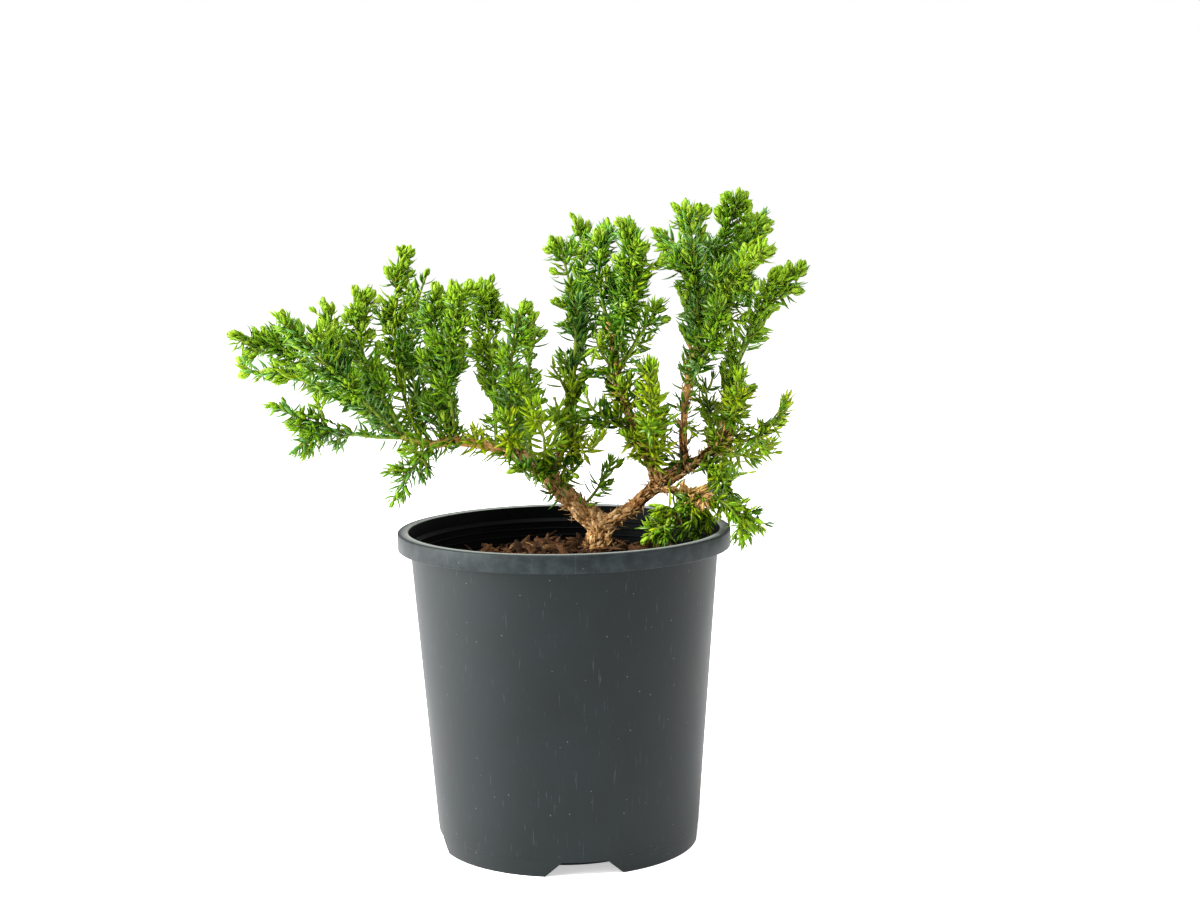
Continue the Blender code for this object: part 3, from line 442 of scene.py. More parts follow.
# %% Rows of the masses
MASSES = {
    "left_low_spray": ("bough_left_outer", 0.88, (-112, -16, 210), (-141, -24, 226), 10, 0.20),
    "left_far_top": ("bough_left_outer", 1.00, (-119, -8, 240), (-162, -10, 257), 22, 0.08),
    "left_far_middle": ("bough_left_outer", 0.94, (-129, 18, 232), (-165, 26, 233), 9, 0.14),
    "left_front_fan": ("bough_left_outer", 0.94, (-109, -36, 241), (-130, -46, 268), 22, 0.14),
    "left_back_fan": ("bough_left_outer", 0.86, (-108, 30, 236), (-123, 46, 270), 22, 0.14),
    "left_shoulder": ("bough_left_outer", 0.85, (-94, -22, 244), (-95, -34, 279), 20, 0.12),
    "left_spire": ("bough_left_outer", 0.79, (-82, 4, 248), (-76, 4, 299), 20, 0.08),
    "left_back_tall": ("bough_left_outer", 0.73, (-77, 36, 244), (-68, 50, 286), 20, 0.14),
    "left_upright": ("bough_left_outer", 0.65, (-60, -14, 236), (-61, -24, 282), 16, 0.08),
    "left_inner_back": ("bough_left_outer", 0.58, (-58, 20, 239), (-56, 34, 279), 20, 0.12),
    "left_inner_front": ("bough_left_outer", 0.52, (-53, -26, 249), (-41, -36, 282), 18, 0.12),
    "left_heart": ("bough_left_outer", 0.24, (-35, 6, 241), (-38, 4, 281), 20, 0.10),
    "left_heart_front": ("bough_left_outer", 0.08, (-24, -22, 237), (-17, -30, 272), 18, 0.14),
    "left_heart_back": ("bough_left", 0.95, (-18, 34, 221), (-14, 52, 262), 18, 0.22),
    "left_bush": ("bough_left", 0.84, (-9, -22, 206), (-16, -36, 224), 15, 0.12),
    "left_bush_low": ("bough_left_outer", 0.16, (-24, -20, 204), (-29, -30, 220), 14, 0.12),
    "left_bush_right": ("bough_left", 0.90, (-3, -9, 206), (-4, -13, 226), 10, 0.12),
    "left_under_spray": ("bough_left_outer", 0.68, (-74, -15, 189), (-84, -18, 172), 7, 0.10),
    "left_under_tuft": ("bough_left", 0.76, (-17, -16, 189), (-28, -22, 188), 8, 0.14),
    "centre_left_spray": ("bough_centre_left", 1.00, (6, 18, 267), (-2, 24, 302), 20, 0.06),
    "centre_left_low": ("bough_centre_left", 0.52, (7, -4, 229), (13, -8, 238), 12, 0.12),
    "centre_left_back": ("bough_centre_left", 0.90, (11, 42, 263), (10, 50, 311), 20, 0.14),
    "centre_crown": ("bough_centre", 1.00, (19, -8, 284), (22, -10, 306), 20, 0.08),
    "centre_front": ("bough_centre", 0.90, (34, -32, 273), (31, -44, 311), 20, 0.12),
    "centre_back": ("bough_centre", 0.84, (32, 22, 274), (38, 30, 303), 16, 0.14),
    "centre_side": ("bough_centre", 0.70, (38, -12, 252), (50, -16, 272), 14, 0.14),
    "centre_bush_back": ("bough_centre", 0.14, (46, 18, 213), (46, 22, 238), 17, 0.16),
    "centre_bush_front": ("bough_centre", 0.10, (43, -25, 213), (41, -32, 241), 16, 0.16),
    "centre_low_left": ("bough_centre", 0.34, (21, -14, 213), (11, -22, 224), 14, 0.14),
    "centre_spray": ("bough_centre_left", 0.30, (12, -12, 197), (18, -22, 208), 10, 0.12),
    "fork_sprig": ("bough_left", 0.22, (19, 8, 179), (24, 6, 193), 7, 0.06),
    "right_heart": ("bough_right_upright", 0.55, (73, -22, 252), (78, -30, 274), 17, 0.12),
    "right_heart_back": ("bough_right_upright", 0.45, (64, 16, 256), (58, 24, 274), 15, 0.12),
    "right_middle_back": ("bough_right_outer", 0.48, (74, 20, 209), (72, 26, 232), 13, 0.12),
    "right_crown": ("bough_right_upright", 1.00, (77, 4, 288), (89, 6, 321), 20, 0.06),
    "right_crown_left": ("bough_right_upright", 0.80, (65, -18, 289), (59, -22, 318), 17, 0.10),
    "right_crown_outlier": ("bough_right_upright", 0.86, (62, 20, 288), (47, 28, 304), 14, 0.14),
    "right_crown_back": ("bough_right_upright", 0.95, (87, 34, 287), (106, 46, 310), 22, 0.14),
    "right_crown_front": ("bough_right_upright", 0.90, (84, -30, 281), (101, -42, 296), 22, 0.14),
    "right_far_spray": ("bough_right_outer", 1.00, (99, 2, 263), (121, -2, 284), 14, 0.06),
    "right_far_back": ("bough_right_outer", 0.88, (96, 28, 250), (112, 40, 264), 11, 0.14),
    "right_upright_front": ("bough_right_outer", 0.62, (85, -16, 218), (85, -22, 239), 15, 0.12),
    "right_low_spray": ("bough_right_outer", 0.42, (98, -8, 204), (111, -12, 225), 11, 0.10),
    "right_low_back": ("bough_right_outer", 0.28, (95, 26, 190), (109, 38, 197), 8, 0.16),
    "right_low_front": ("bough_right_outer", 0.14, (79, -16, 183), (86, -30, 189), 9, 0.14),
    "right_low_tuft": ("bough_right_outer", 0.16, (79, 9, 175), (87, 14, 163), 11, 0.12),
    "rim_spray_middle": ("twig_lower_right", 0.86, (69, -14, 165), (63, -22, 155), 12, 0.10),
    "rim_spray_right": ("twig_lower_right", 1.00, (82, -24, 170), (94, -26, 158), 12, 0.08),
    "rim_spray_left": ("twig_lower_right", 0.62, (54, -24, 165), (39, -34, 156), 12, 0.12),
}


# %% [markdown]
# ## Paths
#
# A limb or a stem is a path: points in space, about evenly spaced. These functions space a path
# evenly, bow a stem through its half-way point, and give each point its own direction with two
# directions across it that don't twist along the way.

# %% Helpers for paths
def along(path, step):
    """The path's points again, spaced evenly by about one step."""
    lengths = np.linalg.norm(np.diff(path, axis=0), axis=1)
    reached = np.concatenate(([0.0], np.cumsum(lengths)))
    places = np.linspace(0.0, reached[-1], max(2, round(reached[-1] / step) + 1))
    return np.stack([np.interp(places, reached, column) for column in path.T], axis=1)


def limb_points(name, step=2 * MM):
    """Points and radii of a limb, spaced evenly."""
    table = along(np.array(LIMBS[name], float) * MM, step)
    return table[:, :3], table[:, 3] / 2


def path_frames(path):
    """Unit directions along a path and two across it that don't twist."""
    ahead = np.gradient(path, axis=0)
    ahead /= np.linalg.norm(ahead, axis=1)[:, None]
    across = np.cross(ahead[0], (0.3, 1.0, 0.2))
    sides = []
    for direction in ahead:
        across = across - direction * (across @ direction)
        across = across / np.linalg.norm(across)
        sides.append(across)
    sides = np.array(sides)
    return ahead, sides, np.cross(ahead, sides)


def stem_path(row):
    """A stem from the middle of what carries it to its tip, bowed through its half way point."""
    carrier, share, half_way, tip = row[:4]
    points = limb_points(carrier)[0] if carrier in LIMBS else stems[carrier]
    foot = points[round(share * (len(points) - 1))]
    tip = np.array(tip, float) * MM
    bow = 2 * np.array(half_way, float) * MM - (foot + tip) / 2
    step = np.linspace(0, 1, 30)[:, None]
    return along((1 - step) ** 2 * foot + 2 * step * (1 - step) * bow + step ** 2 * tip, 1 * MM)


stems = {}
stems.update({name: stem_path(row) for name, row in MASSES.items()})
print("stems", round(sum(len(path) for path in stems.values()) * MM, 2), "m")


# %% [markdown]
# ## Bark
#
# A young juniper's bark is tan to orange brown. It splits lengthwise into thin plates whose ends lift
# and peel, which gives the tree its name. The limbs are tapering curves with a round bevel. Voxel
# Remesh melts them into one skin, so the forks have the smooth crotches of living wood, and then
# every point of the skin is moved by a pattern of plates that runs along its own limb.

# %% One skin for all the limbs
SKIN_VOXEL = 0.38 * MM
TRUNK_SUNK = 3.0 * MM           # the trunk goes on down among the chips


def limb_curve(name, rows):
    """A limb as a curve with a round bevel and closed ends."""
    curve = bpy.data.curves.new(name, "CURVE")
    curve.dimensions = "3D"
    curve.bevel_depth = 1.0
    curve.bevel_resolution = 6
    curve.use_fill_caps = True
    spline = curve.splines.new("POLY")
    spline.points.add(len(rows) - 1)
    for point, (x, y, z, thickness) in zip(spline.points, rows):
        point.co = (x, y, z, 1)
        point.radius = thickness / 2
    item = bpy.data.objects.new(name, curve)
    scene.collection.objects.link(item)
    return item


bpy.ops.object.select_all(action="DESELECT")
curves = []
for name, rows in LIMBS.items():
    rows = along(np.array(rows, float) * MM, 3 * MM)
    if name == "trunk":
        rows = np.vstack([rows[0] + (0, 0, -TRUNK_SUNK, 0.0012), rows])
    curves.append(limb_curve(name + "_curve", rows))
for item in curves:
    item.select_set(True)
bpy.context.view_layer.objects.active = curves[0]
bpy.ops.object.convert(target="MESH")
bpy.ops.object.join()
wood = bpy.context.object
wood.name = "bark_and_boughs"
remesh = wood.modifiers.new("skin", "REMESH")
remesh.mode = "VOXEL"
remesh.voxel_size = SKIN_VOXEL
smooth = wood.modifiers.new("smooth", "SMOOTH")
smooth.factor = 0.6
smooth.iterations = 3
apply_modifiers(wood)
print("skin", len(wood.data.vertices), "points", len(wood.data.polygons), "faces")


# %% [markdown]
# The nearest point on a limb's middle line gives each point of the skin its place along that limb and
# its angle round it. Cells that are longer than wide make the plates. Each plate is tilted, so one end
# stands proud, and the cracks between plates are sunk. Long fibres and the knuckles of old side shoots
# lie under them. The same numbers are kept on the mesh, for the material to follow.

# %% Plates of bark
PLATE_WIDTH = 2.5 * MM
PLATE_LENGTH = 7.0 * MM
PLATE_RELIEF = 0.20             # as a share of the limb's radius
KNUCKLE_RELIEF = 0.24
CRUMB_SIZE = 0.9 * MM
CRUMB_RELIEF = 0.09 * MM
DARKER_FOOT_HEIGHT = 15.0 * MM         # so far above the mulch the bark is darker
SHADE_FROM, SHADE_TO = 20.0 * MM, 56.0 * MM     # painted shade: along x the bark of the right-hand boughs gets darker

spots, thickness_at, frame_at, reached_at, age_at = [], [], [], [], []
LIMB_AGE = {"trunk": (1.0, 1.0), "bough_left": (1.0, 0.9), "bough_left_outer": (0.8, 0.2),
            "bough_right": (1.0, 0.95), "bough_right_outer": (0.9, 0.15), "bough_centre": (0.95, 0.45),
            "bough_centre_left": (0.85, 0.15), "bough_right_upright": (0.9, 0.15),
            "twig_lower_right": (0.9, 0.5)}
for name in LIMBS:
    middle, radii = limb_points(name, 0.5 * MM)
    ahead, side, back = path_frames(middle)
    first, last = LIMB_AGE[name]
    for at, point in enumerate(middle):
        spots.append(point)
        thickness_at.append(radii[at])
        frame_at.append((Vector(ahead[at]), Vector(side[at]), Vector(back[at])))
        reached_at.append(at * 0.5 * MM + 0.37 * len(name))
        age_at.append(first + (last - first) * at / (len(middle) - 1))
tree_of_spots = kdtree.KDTree(len(spots))
for at, point in enumerate(spots):
    tree_of_spots.insert(Vector(point), at)
tree_of_spots.balance()

skin = np.empty(3 * len(wood.data.vertices), np.float32)
wood.data.vertices.foreach_get("co", skin)
skin = skin.reshape(-1, 3)
outward = np.array([vertex.normal[:] for vertex in wood.data.vertices], np.float32)
lifted = np.zeros(len(skin), np.float32)
bark_place = np.zeros((len(skin), 3), np.float32)
bark_age = np.zeros(len(skin), np.float32)
bark_depth_and_shade = np.zeros(len(skin), np.float32)
for number, spot in enumerate(skin):
    point, at, away = tree_of_spots.find(spot)
    ahead, side, back = frame_at[at]
    offset = Vector(spot) - point
    radius = thickness_at[at]
    out = offset.normalized()
    here = Vector((out @ side * radius / PLATE_WIDTH, out @ back * radius / PLATE_WIDTH,
                   (reached_at[at] + offset @ ahead) / PLATE_LENGTH))
    here += 0.4 * noise.noise_vector(here * 0.8)
    distances, centres = noise.voronoi(here)
    crack = min(1.0, (distances[1] - distances[0]) / 0.16)
    tilt = max(-1.0, min(1.0, (here.z - centres[0].z) * 1.6))
    fibre = noise.noise(Vector((here.x * 4.5, here.y * 4.5, here.z * 0.8)))
    knuckles = noise.noise(Vector((here.x * 0.5, here.y * 0.5, here.z * 0.8)) + Vector((7, 3, 1)))
    crumbs = noise.noise(Vector(spot) / CRUMB_SIZE)
    height = crack * (0.7 + 0.6 * tilt) + 0.30 * fibre - 0.55
    lifted[number] = (radius * (PLATE_RELIEF * height + KNUCKLE_RELIEF * knuckles)
                      + CRUMB_RELIEF * crumbs)
    bark_place[number] = here
    bark_age[number] = age_at[at] + 0.15 * knuckles
    near_mulch = max(0.0, 1 - (spot[2] - GROUND * MM) / DARKER_FOOT_HEIGHT)
    shade = min(1.0, max(0.0, (spot[0] - SHADE_FROM) / (SHADE_TO - SHADE_FROM)))
    # painted shade: the tone is darkened along x on the right-hand boughs; it is also darker close to the mulch
    bark_depth_and_shade[number] = 0.5 + 0.45 * height + 0.35 * crumbs - 0.4 * min(1.0, near_mulch) - 0.4 * shade
surface = skin + outward * lifted[:, None]
wood.data.vertices.foreach_set("co", surface.ravel())
wood.data.update()
wood.data.attributes.new("bark_place", "FLOAT_VECTOR", "POINT").data.foreach_set(
    "vector", bark_place.ravel())
wood.data.attributes.new("bark_age", "FLOAT", "POINT").data.foreach_set("value", bark_age)
wood.data.attributes.new("bark_depth_and_shade", "FLOAT", "POINT").data.foreach_set("value", bark_depth_and_shade)
bpy.ops.object.shade_smooth()
print("bark aged from", round(float(bark_age.min()), 2), "to", round(float(bark_age.max()), 2))


# %% [markdown]
# Old bark is a dry tan on the plates' faces, paler on their lifted ends, warmer where a plate has just
# peeled, and dark in the cracks, so the material follows how deep each point of the relief lies. The
# same numbers also carry painted shade that darkens the bark along x on the right, and make it darker near the mulch.
# Towards the tips of the boughs the wood is only two years old: light brown, then the yellow green of
# stems that still carry needles.

# %% Juniper bark
def juniper_bark():
    """Dry flaking bark: no gloss at all, tan plates with pale ends and dark cracks."""
    made, tree, shader, _ = new_material("flaking_juniper_bark", "9C7A4C", 0.9, 0.1)
    place = add_node(tree, "ShaderNodeAttribute", {"attribute_name": "bark_place"}).outputs["Vector"]
    age = add_node(tree, "ShaderNodeAttribute", {"attribute_name": "bark_age"}).outputs["Fac"]
    depth = add_node(tree, "ShaderNodeAttribute", {"attribute_name": "bark_depth_and_shade"}).outputs["Fac"]
    plates = add_node(tree, "ShaderNodeTexVoronoi", {"feature": "F1"},
                      {"Scale": 1.0}, {"Vector": place}).outputs["Color"]
    chance = add_node(tree, "ShaderNodeSeparateColor", links={"Color": plates}).outputs[0]
    fibres_at = add_node(tree, "ShaderNodeMapping", values={"Scale": (6, 6, 0.9)},
                         links={"Vector": place}).outputs["Vector"]
    fibres = add_node(tree, "ShaderNodeTexNoise", values={"Scale": 1.6, "Detail": 6, "Roughness": 0.7},
                      links={"Vector": fibres_at}).outputs["Fac"]
    mixed = add_node(tree, "ShaderNodeMath", {"operation": "MULTIPLY_ADD"}, values={1: 0.75, 2: -0.22},
                     links={0: fibres}).outputs["Value"]
    tone = add_node(tree, "ShaderNodeMath", {"operation": "MULTIPLY_ADD"}, values={1: 0.75},
                    links={0: depth, 2: mixed}).outputs["Value"]
    old = add_node(tree, "ShaderNodeValToRGB", links={"Fac": tone},
                   stops=[(0.12, "1C1006"), (0.30, "5C3C1C"), (0.44, "9A7040"), (0.60, "C09664"),
                          (0.82, "E2BE90")]).outputs["Color"]
    peeled = add_node(tree, "ShaderNodeValToRGB", links={"Fac": tone},
                      stops=[(0.12, "331B0A"), (0.42, "8A5A2E"), (0.80, "D09C64")]).outputs["Color"]
    by_plate = add_node(tree, "ShaderNodeMapRange", values={"From Min": 0.72, "From Max": 0.85},
                        links={"Value": chance}).outputs["Result"]
    bark = add_node(tree, "ShaderNodeMix", {"data_type": "RGBA"},
                    links={0: by_plate, 6: old, 7: peeled}).outputs[2]
    young = add_node(tree, "ShaderNodeValToRGB", links={"Fac": age},
                     stops=[(0.1, "8A9838"), (0.32, "A0943E"), (0.5, "B4864A"),
                            (0.7, "A07A48")]).outputs["Color"]
    young_share = add_node(tree, "ShaderNodeMapRange", values={"From Min": 0.7, "From Max": 0.4},
                           links={"Value": age}).outputs["Result"]
    aged = add_node(tree, "ShaderNodeMix", {"data_type": "RGBA"},
                    links={0: young_share, 6: bark, 7: young}).outputs[2]
    tree.links.new(aged, shader.inputs["Base Color"])
    grain = add_node(tree, "ShaderNodeBump", values={"Strength": 0.7, "Distance": 0.25 * MM},
                     links={"Height": fibres}).outputs["Normal"]
    tree.links.new(grain, shader.inputs["Normal"])
    return made


settle(wood, juniper_bark(), "trunk", *LIMBS)


# %% [markdown]
# ## What keeps each mass to its own space
#
# Foliage that grew anywhere would clot into one green lump. So the masses part the space between
# them: for each two of them a plane stands half way between their leafy stems. Twigs and needles
# stay on their own side, off the wood and out of the openings where the sky shows through.

# %% Spaces and openings
VIEW_POINT = np.array(CAMERA_PLACE)
SKY_WINDOWS = [(-8.1, 243.6, 2.5, 5), (72, 229.1, 3, 5), (17.2, 226.9, 2.5, 3.5),
               (-4, 224.5, 5, 4.5), (48, 275, 4, 5), (-10.5, 202, 4.5, 6), (48.5, 171, 6, 3),
               (65.5, 180.5, 4.5, 4), (-112, 217.6, 3.5, 4.5), (75, 304.5, 3, 4),
               (14.4, 249.5, 2.3, 3), (95, 194, 4, 2), (-67, 278, 2.2, 3), (34, 183, 7.5, 8),
               (98.1, 235.7, 6.9, 7.4), (-47, 179, 17, 9), (-143, 225, 5, 3.5),
               (-108.5, 274, 3.5, 6), (-3.8, 264.1, 2, 3.5), (-80, 219.9, 1.7, 5.9),
               (53.4, 248.6, 6.9, 9.4), (50.3, 234.4, 2.5, 10.9), (64.3, 197, 2.5, 4.5),
               (55, 202.6, 2, 3), (11.6, 175.3, 4.5, 3.5), (16.2, 190.2, 3, 9.9),
               (17.3, 228.9, 4.5, 3), (12.7, 221.1, 3, 4), (-155.1, 257.9, 2.5, 3.5),
               (-126.9, 266.3, 4.5, 2), (-122.1, 262.3, 2.5, 3.5), (-90.1, 286.3, 3, 5.9),
               (-84.4, 277.5, 3, 3), (-66.8, 276.7, 2, 5), (-60.7, 285.9, 2.5, 2),
               (-105.1, 272.9, 1.5, 5), (-56.5, 279, 1.5, 3.5), (-50.5, 282.9, 3, 2),
               (-22.4, 267.8, 2, 5.4), (4.1, 303.5, 3, 3), (43.7, 302, 2.5, 2),
               (54.9, 300.4, 2.5, 3), (51, 306.8, 3.5, 2), (97, 313.9, 2, 2.5),
               (102.8, 297.8, 2, 3), (106, 260.2, 3.5, 4), (56.5, 266.7, 3, 5),
               (88.8, 240.8, 1.5, 4), (101.5, 218.8, 6.4, 5), (93.4, 178.6, 4, 5.9),
               (86.4, 176.7, 2.5, 5.9), (101.3, 162, 4.5, 3), (-23, 180.8, 6.4, 4.5),
               (-149.7, 229.2, 5.9, 3), (-136, 227.1, 3, 4), (-150.4, 239.1, 1.5, 2),
               (118.8, 278.6, 3.5, 2), (113.9, 269.4, 4, 2), (-82.5, 295, 2, 5),
               (-94.4, 199.7, 14.9, 3), (-30.1, 252.2, 1.5, 3), (-23.8, 243.3, 2.5, 3),
               (-81.5, 297.4, 1.5, 3.5), (-142.2, 263.1, 3, 1.5), (-158.9, 249.6, 6.9, 1.2),
               (-147.4, 240.6, 3.5, 2.5), (-112.4, 274.9, 2, 3.5), (-104.1, 275.3, 1.5, 4.5),
               (-119.8, 240.2, 3.5, 2.5), (-131.3, 221.1, 2.5, 3.5), (-110.8, 213.8, 4.5, 2.5),
               (-135.9, 200.3, 3, 2.5), (-95.1, 245.8, 2.5, 3.5), (-73.4, 229.2, 3, 5.4),
               (-45.4, 222.9, 5.9, 11.9), (-65.8, 278.7, 3, 3.5), (-81.5, 277.4, 2.5, 4.5),
               (-49.1, 280.4, 2, 1.5), (-64.1, 202.8, 3, 2.5), (-37.1, 218.8, 3, 4.5),
               (-9.8, 260.3, 3, 3.5), (1.9, 286.1, 3, 5.4), (-0.2, 276.8, 2.5, 4.5),
               (-6.7, 270.1, 2, 4.5), (0.1, 262.6, 2.5, 3), (13.7, 286.9, 2.5, 2),
               (1.8, 249.8, 3.5, 3.5), (-7.3, 206, 2.5, 5.9), (-12.8, 197.1, 3, 3.5),
               (22.8, 200.1, 7.9, 4), (8.2, 185.3, 2.5, 2), (46.5, 291.3, 3, 2.5),
               (4.2, 308.4, 2.5, 2), (25.7, 310, 2, 2), (52.6, 312.1, 2, 4), (53.7, 281.4, 5, 2.5),
               (54.3, 236.3, 2.5, 4.5), (98.3, 282.8, 3.5, 3.5), (105.2, 300.7, 2, 1.5),
               (88.8, 244.7, 2, 3.5), (110, 268.4, 3, 2), (102.6, 256.8, 2.5, 2.5),
               (70.5, 233.1, 2.5, 3.5), (93.1, 229.8, 2, 1.5), (18.9, 239.7, 4.5, 2.5),
               (14.7, 219.5, 2.5, 4), (-11.1, 238.7, 4.3, 2.5), (11.2, 221.1, 2.4, 4.4),
               (8.5, 236.4, 2.6, 2.6), (55.1, 220.5, 3.2, 2.2), (62.9, 210.4, 2.2, 2.5),
               (91.1, 209.6, 2, 2.2), (91, 187.2, 4.2, 2.2), (-10, 249.5, 3.3, 1.8),
               (14.1, 248.7, 2, 3), (56, 206.1, 2, 2.5), (63.4, 206, 2.5, 2.3),
               (55.9, 300.4, 1.7, 2.7), (-64.2, 283.1, 2, 2), (-86.5, 274.6, 1.7, 2.2),
               (88.8, 244.7, 2, 2.2), (-11.5, 245.6, 2.7, 1.7), (93.7, 244.1, 2.2, 2.5),
               (70.9, 224.2, 1.7, 3.2), (104.4, 213.8, 1.7, 2.7), (-99.7, 204.8, 1.7, 2.2),
               (-14.8, 199.1, 1.7, 3.2), (93, 193.6, 2.5, 2.2), (1.9, 191.9, 1.7, 2.2),
               (42.9, 184.3, 2.2, 3), (5.2, 180.9, 2.2, 2.2), (-12.3, 173.6, 4, 1.7),
               (77, 320, 1.7, 4.4), (41.2, 301.1, 2.7, 1.7), (-80.7, 288.2, 1.7, 2.2),
               (35.7, 244.9, 1.7, 1.7), (90.2, 242.2, 1.7, 3.4), (70.1, 241.5, 1.7, 1.7),
               (56.7, 229.8, 2.2, 1.7), (75.9, 229.1, 2.9, 3.2), (73.9, 224.7, 1.4, 2.2),
               (93.1, 219, 4.4, 1.7), (-5.1, 219.3, 2.2, 1.7), (55.6, 216, 1.7, 2.2),
               (99, 212.9, 3.9, 1.9), (-102.8, 215.2, 2.7, 1.7)]
LEAFY_FROM = 0.30
SPACE_GAP = 1.0 * MM
NEEDLE_OVERLAP = 2.5 * MM       # needles of two neighbours may cross by this much
FOOT_OVERLAP = 9.0 * MM         # and those of a stem itself, whose foot stands among its neighbours'
INTO_POT = 10.0 * MM
STEM_CORE = 1.45 * MM

limb_spots = np.vstack([limb_points(name, 1 * MM)[0] for name in LIMBS])
limb_radii = np.concatenate([limb_points(name, 1 * MM)[1] for name in LIMBS])


def nearest_points(first, second):
    """The nearest points of two bodies that span these points, by steps towards corners."""
    here, there = first.mean(axis=0), second.mean(axis=0)
    for _ in range(300):
        between = here - there
        to_here = first[np.argmin(first @ between)] - here
        to_there = second[np.argmax(second @ between)] - there
        change = to_here - to_there
        size = change @ change
        if size < 1e-16:
            break
        share = min(1.0, max(0.0, -(between @ change) / size))
        here, there = here + share * to_here, there + share * to_there
    return here, there


def own_spaces(stems):
    """For each mass the planes that part it from every other mass, as normals and limits."""
    leafy = {name: path[int(len(path) * LEAFY_FROM)::3] for name, path in stems.items()}
    planes = {name: [] for name in stems}
    names = list(stems)
    for at, name in enumerate(names):
        for other in names[at + 1:]:
            here, there = nearest_points(leafy[name], leafy[other])
            normal = (there - here) / np.linalg.norm(there - here)
            middle = normal @ (here + there) / 2
            planes[name].append((*normal, middle - SPACE_GAP / 2))
            planes[other].append((*-normal, -middle - SPACE_GAP / 2))
    return {name: np.array(rows) for name, rows in planes.items()}


spaces = own_spaces(stems)
print("planes round each mass:", len(spaces) - 1)


# %% The test for room
def in_sky(points, widest):
    """True for each point that the view sees inside an opening that isn't wider than that."""
    sight = points - VIEW_POINT
    seen = VIEW_POINT + sight * (-VIEW_POINT[1] / sight[:, 1])[:, None]
    inside = np.zeros(len(points), bool)
    for x, z, half_width, half_height in SKY_WINDOWS:
        if min(half_width, half_height) > widest:
            continue
        off = np.hypot((seen[:, 0] / MM - x) / half_width, (seen[:, 2] / MM - z) / half_height)
        inside |= off < 1
    return inside


def has_room(name, points, clearance, overlap=0.0, widest=math.inf):
    """True for each point in a mass's own space that is clear of wood, pot and sky."""
    held = np.ones(len(points), bool)
    if name in spaces:
        planes = spaces[name]
        held = (points @ planes[:, :3].T <= planes[:, 3] + overlap).all(axis=1)
    away = np.linalg.norm(points[:, None] - limb_spots[None], axis=2) - limb_radii
    held &= away.min(axis=1) > clearance
    height = points[:, 2]
    from_axis = np.hypot(points[:, 0], points[:, 1])
    rim = (from_axis > LIP_INNER_RADIUS - 2 * clearance) & (from_axis < RIM_RADIUS + clearance)
    held &= ~(rim & (height < POT_HEIGHT + clearance))
    held &= ~((from_axis < RIM_RADIUS) & (height < POT_HEIGHT - INTO_POT))
    return held & ~in_sky(points, widest)


# %% [markdown]
# ## Shoots
#
# A juniper's stem carries side shoots wound round it by the golden angle, each bending back towards
# the light. The first set repeats the frame's own shoots. Between them grow shorter ones, and near
# each tip short twigs crowd together, so a spray ends in a cluster of buds instead of one point. Each
# shoot is kept as its path with what the needles need to know about it.

# %% Rule of growth
SEED = 7
SHOOT_STEP = 9.0 * MM
SHOOT_CLEAR = 1.6 * MM
SHOOT_SIZES = (0.75, 1.15)
SHOOT_FALL_OFF = 0.55
SHOOT_ANGLES = (44, 58)
TURN_AHEAD = 0.55
TURN_UP = 0.35
GOLDEN_TURN = math.radians(137.5)
STEM_END = 3.0 * MM             # a stem stops this far before its tip, where the bud begins


def side_path(foot, ahead, outward, angle, size):
    """A bowed path that leaves a stem at an angle and turns ahead and up."""
    leave = ahead * math.cos(angle) + outward * math.sin(angle)
    arrive = leave + TURN_AHEAD * ahead + np.array([0, 0, TURN_UP])
    arrive /= np.linalg.norm(arrive)
    knee = foot + leave * size / 2
    step = np.linspace(0, 1, 12)[:, None]
    path = ((1 - step) ** 2 * foot + 2 * step * (1 - step) * knee
            + step ** 2 * (knee + arrive * size / 2))
    return along(path, 1 * MM)


def kept_part(name, path, skip=3):
    """The path as far as it has room, without a test for the first points, which lie in the wood."""
    fits = has_room(name, path, SHOOT_CLEAR)
    fits[:skip] = True
    return path if fits.all() else path[:int(np.argmin(fits))]


def clear_of_wood(name, path):
    """How many points of a sprig's stem lie in or at the wood of its carrier."""
    fits = has_room(name, path, SHOOT_CLEAR)
    return int(np.argmax(fits[:len(path) * 2 // 3])) + 2 if fits.any() else len(path)


def shoots_on(name, stem, reach, first, seed, step, smallest, fall_off=SHOOT_FALL_OFF):
    """Side shoots of one stem from a first place on, as (path, share of the way up the stem)."""
    ahead, side, back = path_frames(stem)
    length = MM * (len(stem) - 1)
    start_turn = random.Random(seed).uniform(0, 2 * math.pi)
    grown = []
    place_on_stem = first
    count = 0
    while place_on_stem < length - 2 * MM:
        chance = random.Random(seed * 1000 + count)
        share = place_on_stem / length
        at = round(share * (len(stem) - 1))
        turn = start_turn + count * GOLDEN_TURN
        size = reach * (1.05 - fall_off * share) * chance.uniform(*SHOOT_SIZES)
        angle = math.radians(chance.uniform(*SHOOT_ANGLES))
        outward = side[at] * math.cos(turn) + back[at] * math.sin(turn)
        path = kept_part(name, side_path(stem[at], ahead[at], outward, angle, size))
        if (len(path) - 1) * MM >= smallest:
            grown.append((path, share))
        place_on_stem += step
        count += 1
    return grown


# %% [markdown]
# Some places need more than the frame's masses: the feet of the boughs carry small sprigs that fill
# the crotches and round off the heads. For each limb or stem that carries some, a row gives the share
# of the way along it, a point half way, the tip and the reach. They have no space of their own.

